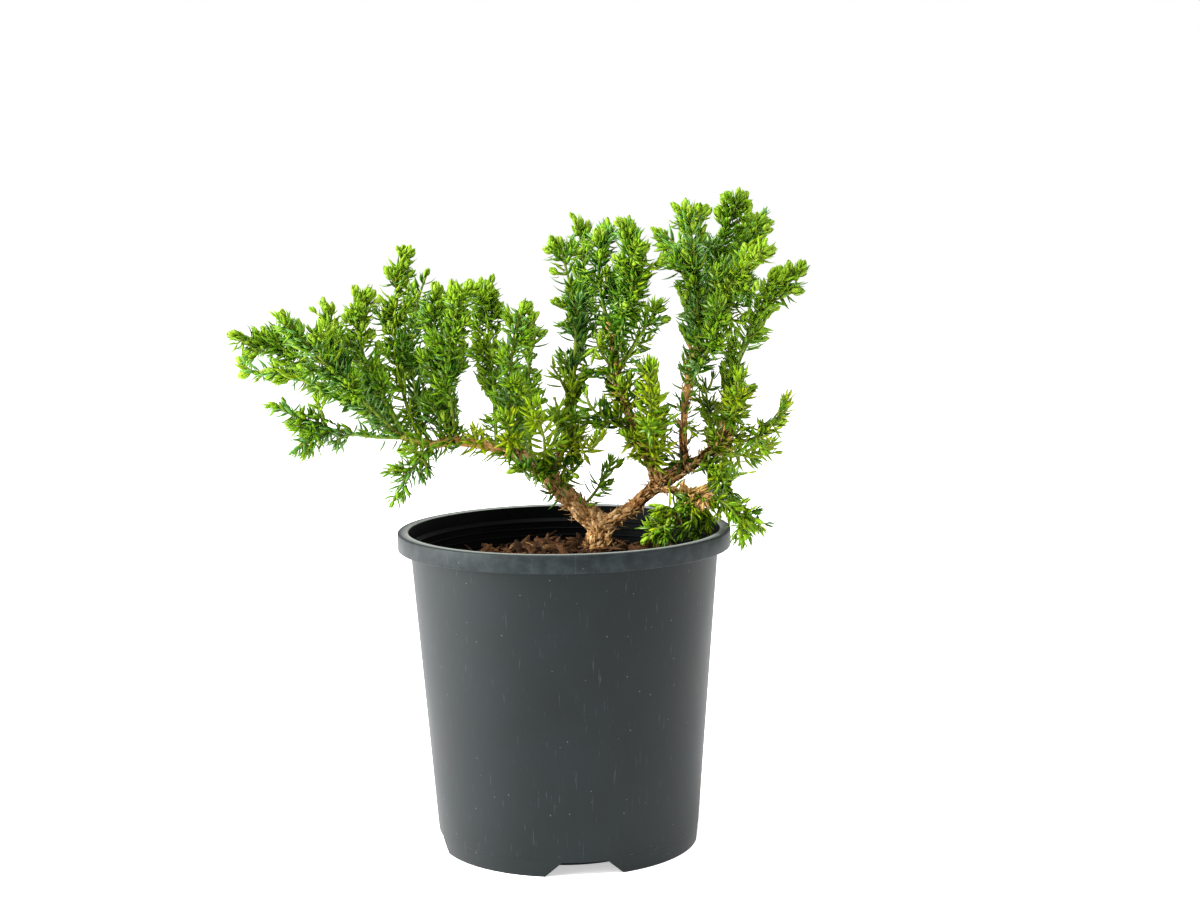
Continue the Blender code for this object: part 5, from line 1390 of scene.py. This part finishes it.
def whorl(middle, ahead, side, back, first_turn, core, lean, size, width, dice):
    """Three needles round a stem, as (foot, way, ahead, size, width)."""
    rows = []
    for third in range(3):
        turn = first_turn + third * 2 * math.pi / 3 + dice.uniform(-0.22, 0.22)
        away = math.radians(lean + dice.uniform(-9, 9))
        outward = side * math.cos(turn) + back * math.sin(turn)
        way = ahead * math.cos(away) + outward * math.sin(away)
        rows.append((middle + outward * core * 0.6, way, ahead, size * dice.uniform(0.82, 1.12), width))
    return rows


def needles_on(path, core, bud, habit, dice):
    """Needles along a shoot, as three lists: its leaves, those of its tip and its bud's."""
    step, full_length, full_width = habit
    length = (len(path) - 1) * MM
    reached = np.arange(len(path)) * MM
    ahead, side, back = path_frames(path)
    leaves, tip, buds = [], [], []
    turn = dice.uniform(0, math.pi)
    place = 1.2 * MM
    while place < length - (5.8 * MM if bud else 2.0 * MM):
        at = min(len(path) - 1, int(round(place / MM)))
        middle = np.array([np.interp(place, reached, column) for column in path.T])
        near_tip = max(0.0, 1 - (length - place) / NARROWING)
        lean = NEEDLE_SPREAD[0] + (NEEDLE_SPREAD[1] - NEEDLE_SPREAD[0]) * place / length
        size = full_length * (1.0 - (1.0 - SHORTEST) * near_tip)
        width = full_width * (1.0 + (YOUNG_BREADTH - 1.0) * near_tip)
        rows = whorl(middle, ahead[at], side[at], back[at], turn, core, lean - 10 * near_tip, size,
                     width, dice)
        (tip if near_tip > 0.45 else leaves).extend(rows)
        turn += math.pi / 3
        place += step * (1.0 - 0.2 * near_tip)
    for count, (from_end, lean, size, width) in enumerate(BUD_WHORLS if bud else LEAFY_TIP):
        middle = path[-1] - ahead[-1] * min(from_end * MM, length)
        rows = whorl(middle, ahead[-1], side[-1], back[-1], turn, core, lean, size * MM, width * MM,
                     dice)
        (buds if bud and count >= LIME_FROM else tip).extend(rows)
        turn += math.pi / 3
    return leaves, tip, buds


print("a needle has", len(NEEDLE_SHAPE), "points and", len(NEEDLE_FACES), "triangles")


# %% [markdown]
# Colour that has a place on the plant is dealt out by spray, as plain colours: a shoot low in the
# plant is yellow green or dark, one high in its mass is fresh green, some have the blue bloom of
# wax, and buds are lime. The dark and deep greens are partly the older needles' own colour and
# partly painted shade in the depth of the masses. The limbs that are still young carry whorls of
# their own.

# %% Dealing out the needles
KINDS = ("deep", "dark", "leaf", "bright", "bluish", "inner", "yellow", "fresh", "bud", "bud_pale",
         "dead")
dealt = {kind: [] for kind in KINDS}
TIP_KIND = {"deep": "leaf", "dark": "leaf", "leaf": "fresh", "bright": "fresh", "bluish": "bright",
            "inner": "fresh", "yellow": "fresh", "fresh": "fresh", "dead": "dead"}
# painted shade, in part: the deep and dark kinds darken the inside of the masses, most in their lower parts
LOW_SHARES = [("yellow", 0.28), ("inner", 0.64), ("leaf", 0.80), ("dark", 0.92), ("deep", 1.0)]
COOL_SHARES = [("leaf", 0.34), ("bluish", 0.74), ("bright", 0.90), ("inner", 1.0)]
STEM_SHARES = [("leaf", 0.40), ("bluish", 0.60), ("inner", 0.86), ("dark", 1.0)]
MIDDLE_SHARES = [("deep", 0.20), ("dark", 0.44), ("leaf", 0.70), ("bluish", 0.82), ("bright", 1.0)]
HIGH_SHARES = [("dark", 0.10), ("leaf", 0.40), ("bluish", 0.58), ("bright", 0.84), ("fresh", 1.0)]
RIM_SHARES = [("yellow", 0.10), ("inner", 0.36), ("leaf", 0.64), ("dark", 0.84), ("bright", 1.0)]
WARM_SHARES = [("yellow", 0.16), ("inner", 0.60), ("leaf", 0.86), ("bright", 1.0)]
LIGHT_SHARES = [("leaf", 0.30), ("bright", 0.62), ("fresh", 0.84), ("bluish", 1.0)]
SHARES_BY_NAME = [(("rim", "twig_lower_right"), RIM_SHARES),
                  (("left_low_spray", "left_under", "fork_sprig", "bough_left 2", "bough_left 3"), COOL_SHARES),
                  (("left_bush",), WARM_SHARES),
                  (("left_heart", "right_far_spray", "centre_side"), LIGHT_SHARES)]
# limb, from and to as shares of its length, step and length in mm, the leaves' kind
LIMB_WHORLS = [("bough_left_outer", 0.02, 0.6, 2.4, 9.6, "inner"),
               ("bough_left_outer", 0.6, 1.0, 1.9, 9.6, "leaf"),
               ("bough_left", 0.72, 1.0, 4.2, 7.0, "inner"),
               ("bough_centre_left", 0.05, 1.0, 3.2, 8.4, "leaf"),
               ("bough_right_upright", 0.14, 1.0, 3.4, 9.0, "dark"),
               ("bough_right_outer", 0.32, 1.0, 3.2, 8.6, "inner"),
               ("bough_centre", 0.36, 1.0, 4.2, 7.0, "yellow"),
               ("twig_lower_right", 0.35, 1.0, 3.2, 7.6, "yellow"),
               ("bough_centre", 0.06, 0.85, 2.6, 5.6, "dead"),
               ("bough_centre_left", 0.0, 0.7, 3.4, 6.0, "dead"),
               ("bough_left", 0.55, 0.95, 3.2, 4.6, "dead"),
               ("bough_right_outer", 0.0, 0.5, 3.0, 5.2, "dead"),
               ("bough_right_upright", 0.0, 0.9, 4.2, 5.0, "dead")]


def kind_of(name, order, height, dice):
    """The colour of one shoot's needles, from its order and how high in its mass it grows."""
    throw = dice.random()
    if name.startswith("dead"):
        return "dead"
    shares = MIDDLE_SHARES if height < 0.62 else HIGH_SHARES
    if name in ALL_LOW:
        shares = LOW_SHARES
    elif order == 0:
        shares = STEM_SHARES
    for names, own_shares in SHARES_BY_NAME:
        if name.startswith(names):
            shares = own_shares
    return next(kind for kind, limit in shares if throw <= limit)


def deal(name, rows, kind, overlap=NEEDLE_OVERLAP):
    """Put the needles that have room with those of their colour."""
    if not rows:
        return
    foot = np.array([row[0] for row in rows])
    way = np.array([row[1] for row in rows])
    size = np.array([row[3] for row in rows])[:, None]
    held = has_room(name, foot + way * size * INTO_SKY, NEEDLE_CLEAR, overlap)
    held &= has_room(name, foot + way * size, NEEDLE_CLEAR, overlap, NARROW)
    dealt[kind] += [row for row, fits in zip(rows, held) if fits]


for count, (name, path, order, height, bud) in enumerate(shoots):
    dice = random.Random(SEED * 31 + count)
    habit = STEM_NEEDLES if order == 0 else HIGH_NEEDLES
    if name.startswith(RIM_NAMES):
        habit = RIM_NEEDLES
    elif name in ALL_LOW:
        habit = LOW_NEEDLES
    leaves, tip, buds = needles_on(path, CORE_BY_ORDER[order], bud, habit, dice)
    kind = kind_of(name, order, height, dice)
    deal(name, leaves, kind, FOOT_OVERLAP if order == 0 else NEEDLE_OVERLAP)
    deal(name, tip, TIP_KIND[kind] if bud or dice.random() < 0.4 else kind)
    deal(name, buds, "bud" if dice.random() < 0.6 else "bud_pale")

for count, (name, first, last, step, size, kind) in enumerate(LIMB_WHORLS):
    dice = random.Random(3000 + count)
    middle, radii = limb_points(name, 0.5 * MM)
    ahead, side, back = path_frames(middle)
    at, turn = int(first * len(middle)), 0.0
    while at < last * len(middle):
        rows = whorl(middle[at], ahead[at], side[at], back[at], turn, radii[at] * 1.3,
                     dice.uniform(52, 80), size * MM, LOW_NEEDLES[2], dice)
        deal(name, rows, kind if kind == "dead" or dice.random() < 0.7 else "leaf")
        turn += math.pi / 3 + dice.uniform(-0.3, 0.3)
        at += max(1, round(step * dice.uniform(0.7, 1.3) * 2))
print({kind: len(rows) for kind, rows in dealt.items()})


# %% Needle meshes
MOST_NEEDLES = 11000            # in one piece, which is under 200,000 triangles


def needle_arrays(rows, shape=NEEDLE_SHAPE, faces=NEEDLE_FACES):
    """All the needles of some rows as points and triangles."""
    foot = np.array([row[0] for row in rows])
    way = np.array([row[1] for row in rows])
    ahead = np.array([row[2] for row in rows])
    size = np.array([row[3] for row in rows])
    width = np.array([row[4] for row in rows])
    across = np.cross(ahead, way)
    across /= np.linalg.norm(across, axis=1)[:, None]
    above = np.cross(way, across)
    axes = np.stack([across, above, way], axis=1)
    sizes = np.stack([width, size, size], axis=1)
    return placed(shape, faces, foot, axes, sizes)


def needle_material(name, colour, roughness, specular):
    """Waxy needle: one plain colour, a skin that is finely grained, and a soft shine."""
    made, tree, shader, coords = new_material(name, colour, roughness, specular)
    grain = add_node(tree, "ShaderNodeTexNoise", values={"Scale": 900, "Detail": 2},
                     links={"Vector": coords}).outputs["Fac"]
    skin = add_node(tree, "ShaderNodeBump", values={"Strength": 0.25, "Distance": 0.1 * MM},
                    links={"Height": grain}).outputs["Normal"]
    tree.links.new(skin, shader.inputs["Normal"])
    return made


NEEDLE_TONES = {
    # painted shade, in part: the deep kind's near-black green darkens the depth of the masses
    "deep": ("waxy_needle_deep_shade", "183C00", 0.55, 0.08, "left_heart"),
    "dark": ("waxy_needle_dark", "305600", 0.55, 0.08, "left_heart"),
    "leaf": ("waxy_needle_green", "4C7206", 0.5, 0.12, "left_spire"),
    "bright": ("waxy_needle_bright", "5E860C", 0.5, 0.12, "left_spire"),
    "bluish": ("waxy_needle_bloomed", "4E7A30", 0.55, 0.16, "left_far_top"),
    "inner": ("waxy_needle_yellow_green", "6E8600", 0.5, 0.12, "centre_bush_front"),
    "yellow": ("waxy_needle_yellowed", "84940A", 0.5, 0.12, "centre_bush_front"),
    "fresh": ("waxy_needle_fresh", "6E9010", 0.5, 0.12, "right_crown"),
    "bud": ("soft_bud_lime", "66860E", 0.5, 0.12, "centre_crown"),
    "bud_pale": ("soft_bud_pale_lime", "769220", 0.5, 0.12, "centre_crown"),
    "dead": ("dry_dead_needle", "B08A54", 0.8, 0.08, "trunk"),
}
for kind, rows in dealt.items():
    finish_name, colour, roughness, specular, slot = NEEDLE_TONES[kind]
    finish = needle_material(finish_name, colour, roughness, specular)
    pieces = math.ceil(len(rows) / MOST_NEEDLES)
    shape = SCALE_SHAPE if kind.startswith("bud") else NEEDLE_SHAPE
    for part in range(pieces):
        name = f"needles_{kind}" if pieces == 1 else f"needles_{kind}_{part + 1}"
        settle(mesh_piece(name, *needle_arrays(rows[part::pieces], shape)), finish, slot)

striped = dealt["bluish"] + dealt["leaf"][::3] + dealt["dark"][::4] + dealt["deep"][::4]
stripes = mesh_piece("needle_stripes", *needle_arrays(striped, STRIPE_SHAPE, STRIPE_FACES))
settle(stripes, needle_material("pale_wax_stripe", "94AA70", 0.6, 0.12), "left_spire")


# %% [markdown]
# ## What clings to the old wood
#
# Needles that die stay on a juniper for years as dry tan stubs, and the bark peels in small curled
# flakes. Both break up the outline of the boughs, so they're real pieces and not only a pattern. A
# flake is a thin closed strip that bends away from the wood, and both are set on points of the skin
# that chance picks, more of them where the wood is old.

# %% Stubs and flakes
STUB_COUNT = 420
FLAKE_COUNT = 620
STATIONS = 4                    # cross sections of a flake
flake_points = []
for station in range(STATIONS):
    share = station / (STATIONS - 1)
    half = 0.5 * (1 - 0.55 * share ** 2)
    rise = 0.42 * share ** 2
    for across, up in ((-half, 0), (half, 0), (half * 0.8, 0.08), (-half * 0.8, 0.08)):
        flake_points.append((across, rise + up, share - 0.25))
FLAKE_SHAPE = np.array(flake_points)
flake_faces = [(0, 2, 1), (0, 3, 2)]
for station in range(STATIONS - 1):
    for at in range(4):
        here, there = station * 4 + at, station * 4 + (at + 1) % 4
        flake_faces += [(here, there, there + 4), (here, there + 4, here + 4)]
end = (STATIONS - 1) * 4
flake_faces += [(end, end + 1, end + 2), (end, end + 2, end + 3)]
FLAKE_FACES = np.array(flake_faces)


def clinging(count, seed, youngest, lean, sizes, widths):
    """Rows like a needle's for pieces that chance sets on the old skin, as (foot, way, ahead, ...)."""
    dice = random.Random(seed)
    rows = []
    while len(rows) < count:
        number = dice.randrange(len(skin))
        if bark_age[number] < youngest + 0.25 * dice.random():
            continue
        _, at, _ = tree_of_spots.find(skin[number])
        ahead = np.array(frame_at[at][0]) * dice.choice((-1, 1, 1))
        out = outward[number].astype(float)
        swing = np.cross(out, ahead) * dice.uniform(-0.6, 0.6)
        away = math.radians(dice.uniform(*lean))
        way = (ahead + swing) * math.cos(away) + out * math.sin(away)
        way /= np.linalg.norm(way)
        rows.append((surface[number] - out * 0.25 * MM, way, -out, dice.uniform(*sizes) * MM,
                     dice.uniform(*widths) * MM))
    return rows


def dry_litter(name, dark, light):
    """Dead leaf or loose bark: papery, without any shine, from straw to brown."""
    made, tree, shader, coords = new_material(name, light, 0.9, 0.08)
    mottle = add_node(tree, "ShaderNodeTexNoise", values={"Scale": 240, "Detail": 4},
                      links={"Vector": coords}).outputs["Fac"]
    tone = add_node(tree, "ShaderNodeValToRGB", links={"Fac": mottle},
                    stops=[(0.35, dark), (0.65, light)]).outputs["Color"]
    tree.links.new(tone, shader.inputs["Base Color"])
    return made


stubs = clinging(STUB_COUNT, 71, 0.55, (30, 80), (2.2, 6.4), (0.7, 1.2))
flakes = clinging(FLAKE_COUNT, 72, 0.75, (0, 20), (2.4, 6.0), (1.4, 3.0))
settle(mesh_piece("dead_needle_stubs", *needle_arrays(stubs)), dry_litter("dead_needle", "6E5230", "BE9C66"),
       "trunk")
settle(mesh_piece("bark_flakes", *needle_arrays(flakes, FLAKE_SHAPE, FLAKE_FACES)),
       dry_litter("loose_bark_flake", "8A643A", "DDB888"), "trunk")


# %% [markdown]
# ## Mulch
#
# The pot is topped with composted bark: dark, damp chips a few millimetres to two centimetres long,
# heaped towards the trunk. The ground under the chips is a grid that is pushed up and down by noise.
# The chips are one bent splinter with a few dozen faces, laid at all angles and sizes.

# %% Ground under the chips
SOIL_EDGE = POT_HEIGHT - 22.0 * MM
MOUND_WIDTH = 40.0 * MM
MOUND_SHIFT = 12.0 * MM         # the mound's top lies a little to the left of the trunk
TRUNK_X, TRUNK_Y = (value * MM for value in LIMBS["trunk"][0][:2])


def soil_height(x, y):
    """Height of the mulch, mounded towards the trunk."""
    away = math.hypot(x - TRUNK_X + MOUND_SHIFT, y - TRUNK_Y)
    rise = min(1.0, 1.25 * math.exp(-(away / MOUND_WIDTH) ** 2))
    return SOIL_EDGE + (GROUND * MM - SOIL_EDGE) * rise


SOIL_RADIUS = wall_radius(SOIL_EDGE) - WALL - 0.3 * MM
BED_DEPTH = 14 * MM
bed_bottom = SOIL_EDGE - BED_DEPTH
bottom_radius = wall_radius(bed_bottom) - WALL - 0.3 * MM
bpy.ops.mesh.primitive_circle_add(vertices=96, radius=bottom_radius, fill_type="NGON",
                                  location=(0, 0, bed_bottom))
soil = bpy.context.object
soil.name = "mulch_bed"
bpy.ops.object.transform_apply(location=True)
start_edit(soil, "EDGE")
bpy.ops.mesh.select_all(action="SELECT")
bpy.ops.mesh.extrude_edges_move(TRANSFORM_OT_translate={"value": (0, 0, BED_DEPTH)})
widening = SOIL_RADIUS / bottom_radius
bpy.ops.transform.resize(value=(widening, widening, 1), center_override=(0, 0, SOIL_EDGE))
bpy.ops.mesh.edge_face_add()
bpy.ops.mesh.select_mode(type="FACE")
for _ in range(26):
    bpy.ops.mesh.inset(thickness=SOIL_RADIUS / 28, depth=0)
bpy.ops.mesh.poke()
bpy.ops.mesh.select_all(action="SELECT")
bpy.ops.mesh.normals_make_consistent(inside=False)
bpy.ops.object.mode_set(mode="OBJECT")
for corner in soil.data.vertices:
    x, y, z = corner.co
    if z > bed_bottom + MM and math.hypot(x, y) < SOIL_RADIUS * 0.99:
        rough = noise.noise(Vector((x, y, 0)) * 160) + 0.5 * noise.noise(Vector((x, y, 1)) * 420)
        corner.co.z = soil_height(x, y) - 1.2 * MM + 1.4 * MM * rough
bpy.ops.object.shade_smooth()

# %% Chips
CHIP_ROUNDS = [(-0.5, 0.18, 0.5, -0.20), (-0.24, 0.46, 0.9, 0.16), (0.0, 0.40, 1.1, 0.34),
               (0.26, 0.5, 0.8, 0.10), (0.5, 0.14, 0.4, -0.34)]      # along, half width, thickness, lift
chip_points = []
for where, half, thick, lift in CHIP_ROUNDS:
    chip_points += [(where, -half, lift), (where, half, lift + 0.05), (where, half * 0.8, lift + 0.3 * thick),
                    (where, -half * 0.9, lift + 0.35 * thick)]
CHIP_SHAPE = np.array(chip_points)
chip_faces = [(0, 3, 2), (0, 2, 1), (16, 17, 18), (16, 18, 19)]
for ring in range(4):
    for at in range(4):
        here, there = ring * 4 + at, ring * 4 + (at + 1) % 4
        chip_faces += [(here, there, there + 4), (here, there + 4, here + 4)]
CHIP_FACES = np.array(chip_faces)


def chip_rows(count, seed, longest, lift):
    """Places, axes and sizes of chips strewn over the mulch."""
    dice = random.Random(seed)
    places, axes, sizes = [], [], []
    while len(places) < count:
        length = dice.uniform(0.35, 1.0) ** 1.5 * longest
        away = (SOIL_RADIUS - 0.6 * length) * math.sqrt(dice.random())
        turn = dice.uniform(0, 2 * math.pi)
        x, y = away * math.cos(turn), away * math.sin(turn)
        if math.hypot(x - TRUNK_X, y - TRUNK_Y) < 8.5 * MM:
            continue
        turned = Matrix.Rotation(dice.uniform(0, 2 * math.pi), 3, "Z")
        turned = turned @ Matrix.Rotation(dice.gauss(0, 0.4), 3, "Y")
        turned = turned @ Matrix.Rotation(dice.gauss(0, 0.7), 3, "X")
        places.append((x, y, soil_height(x, y) + dice.uniform(-1.0, lift) * MM))
        axes.append(np.array(turned.transposed()))
        sizes.append((length, length * dice.uniform(0.10, 0.26), dice.uniform(1.0, 2.4) * MM))
    return np.array(places), np.array(axes), np.array(sizes)


def bark_chip(name, dark, light):
    """Composted bark: fibrous, damp and dull, with a few paler splinters."""
    made, tree, shader, coords = new_material(name, light, 0.85, 0.08)
    grain = add_node(tree, "ShaderNodeTexNoise", values={"Scale": 380, "Detail": 6, "Roughness": 0.7},
                     links={"Vector": coords}).outputs["Fac"]
    tone = add_node(tree, "ShaderNodeValToRGB", links={"Fac": grain},
                    stops=[(0.3, dark), (0.7, light)]).outputs["Color"]
    tree.links.new(tone, shader.inputs["Base Color"])
    fibrous = add_node(tree, "ShaderNodeBump", values={"Strength": 0.7, "Distance": 0.4 * MM},
                       links={"Height": grain}).outputs["Normal"]
    tree.links.new(fibrous, shader.inputs["Normal"])
    return made


settle(soil, bark_chip("damp_composted_bark", "0E0704", "281A10"), "soil", "soil")
for name, count, seed, longest, lift, dark, light in (
        ("chips_dark", 720, 11, 20 * MM, 1.8, "160B05", "3C2818"),
        ("chips_brown", 480, 12, 23 * MM, 3.0, "2A1A0C", "64442A"),
        ("chips_pale", 110, 13, 18 * MM, 3.6, "46301A", "8E6C46")):
    chips = mesh_piece(name, *placed(CHIP_SHAPE, CHIP_FACES, *chip_rows(count, seed, longest, lift)))
    settle(chips, bark_chip("bark_" + name, dark, light), "soil")


# %% [markdown]
# ## Studio
#
# The photo is a cut-out on white. A pale floor and big soft lights give the same even light: a broad
# one on the left that draws the glow down the pot's left side, a smaller one on the right, and one
# overhead for the bright tips of the foliage.

# %% Floor and lights
ROOM_LIGHT = 0.72               # of the backdrop's white falls on the plant from all round
SHEET_GLOW = 0.50               # the floor is a pale sheet with a little light under it
bpy.ops.mesh.primitive_plane_add(size=12, location=(0, 0, 0))
floor = bpy.context.object
floor.name = "floor"
floor_finish, _, sheet, _ = new_material("opal_acrylic_sheet", "FFFFFF", 0.9, 0.0)
sheet.inputs["Emission Color"].default_value = linear("FFFFFF")
sheet.inputs["Emission Strength"].default_value = SHEET_GLOW
floor.data.materials.append(floor_finish)


def soft_light(name, place, size, power):
    """A square area light that faces the middle of the plant."""
    data = bpy.data.lights.new(name, "AREA")
    data.size = size
    data.energy = power
    light = bpy.data.objects.new(name, data)
    scene.collection.objects.link(light)
    light.location = place
    light.rotation_euler = (Vector((0, 0, 0.18)) - Vector(place)).to_track_quat("-Z", "Y").to_euler()


soft_light("left_softbox", (-1.7, -0.4, 0.82), 1.9, 156)
soft_light("right_softbox", (1.2, -0.2, 0.6), 0.7, 2)
soft_light("overhead", (-0.1, -0.45, 1.5), 1.1, 32)
world = bpy.data.worlds.new("studio")
world.use_nodes = True
backdrop = world.node_tree.nodes["Background"]
backdrop.inputs["Color"].default_value = linear("FFFFFF")
ray = add_node(world.node_tree, "ShaderNodeLightPath").outputs["Is Camera Ray"]
glow = add_node(world.node_tree, "ShaderNodeMapRange", values={"To Min": ROOM_LIGHT, "To Max": 1.0},
                links={"Value": ray}).outputs["Result"]
world.node_tree.links.new(glow, backdrop.inputs["Strength"])
scene.world = world
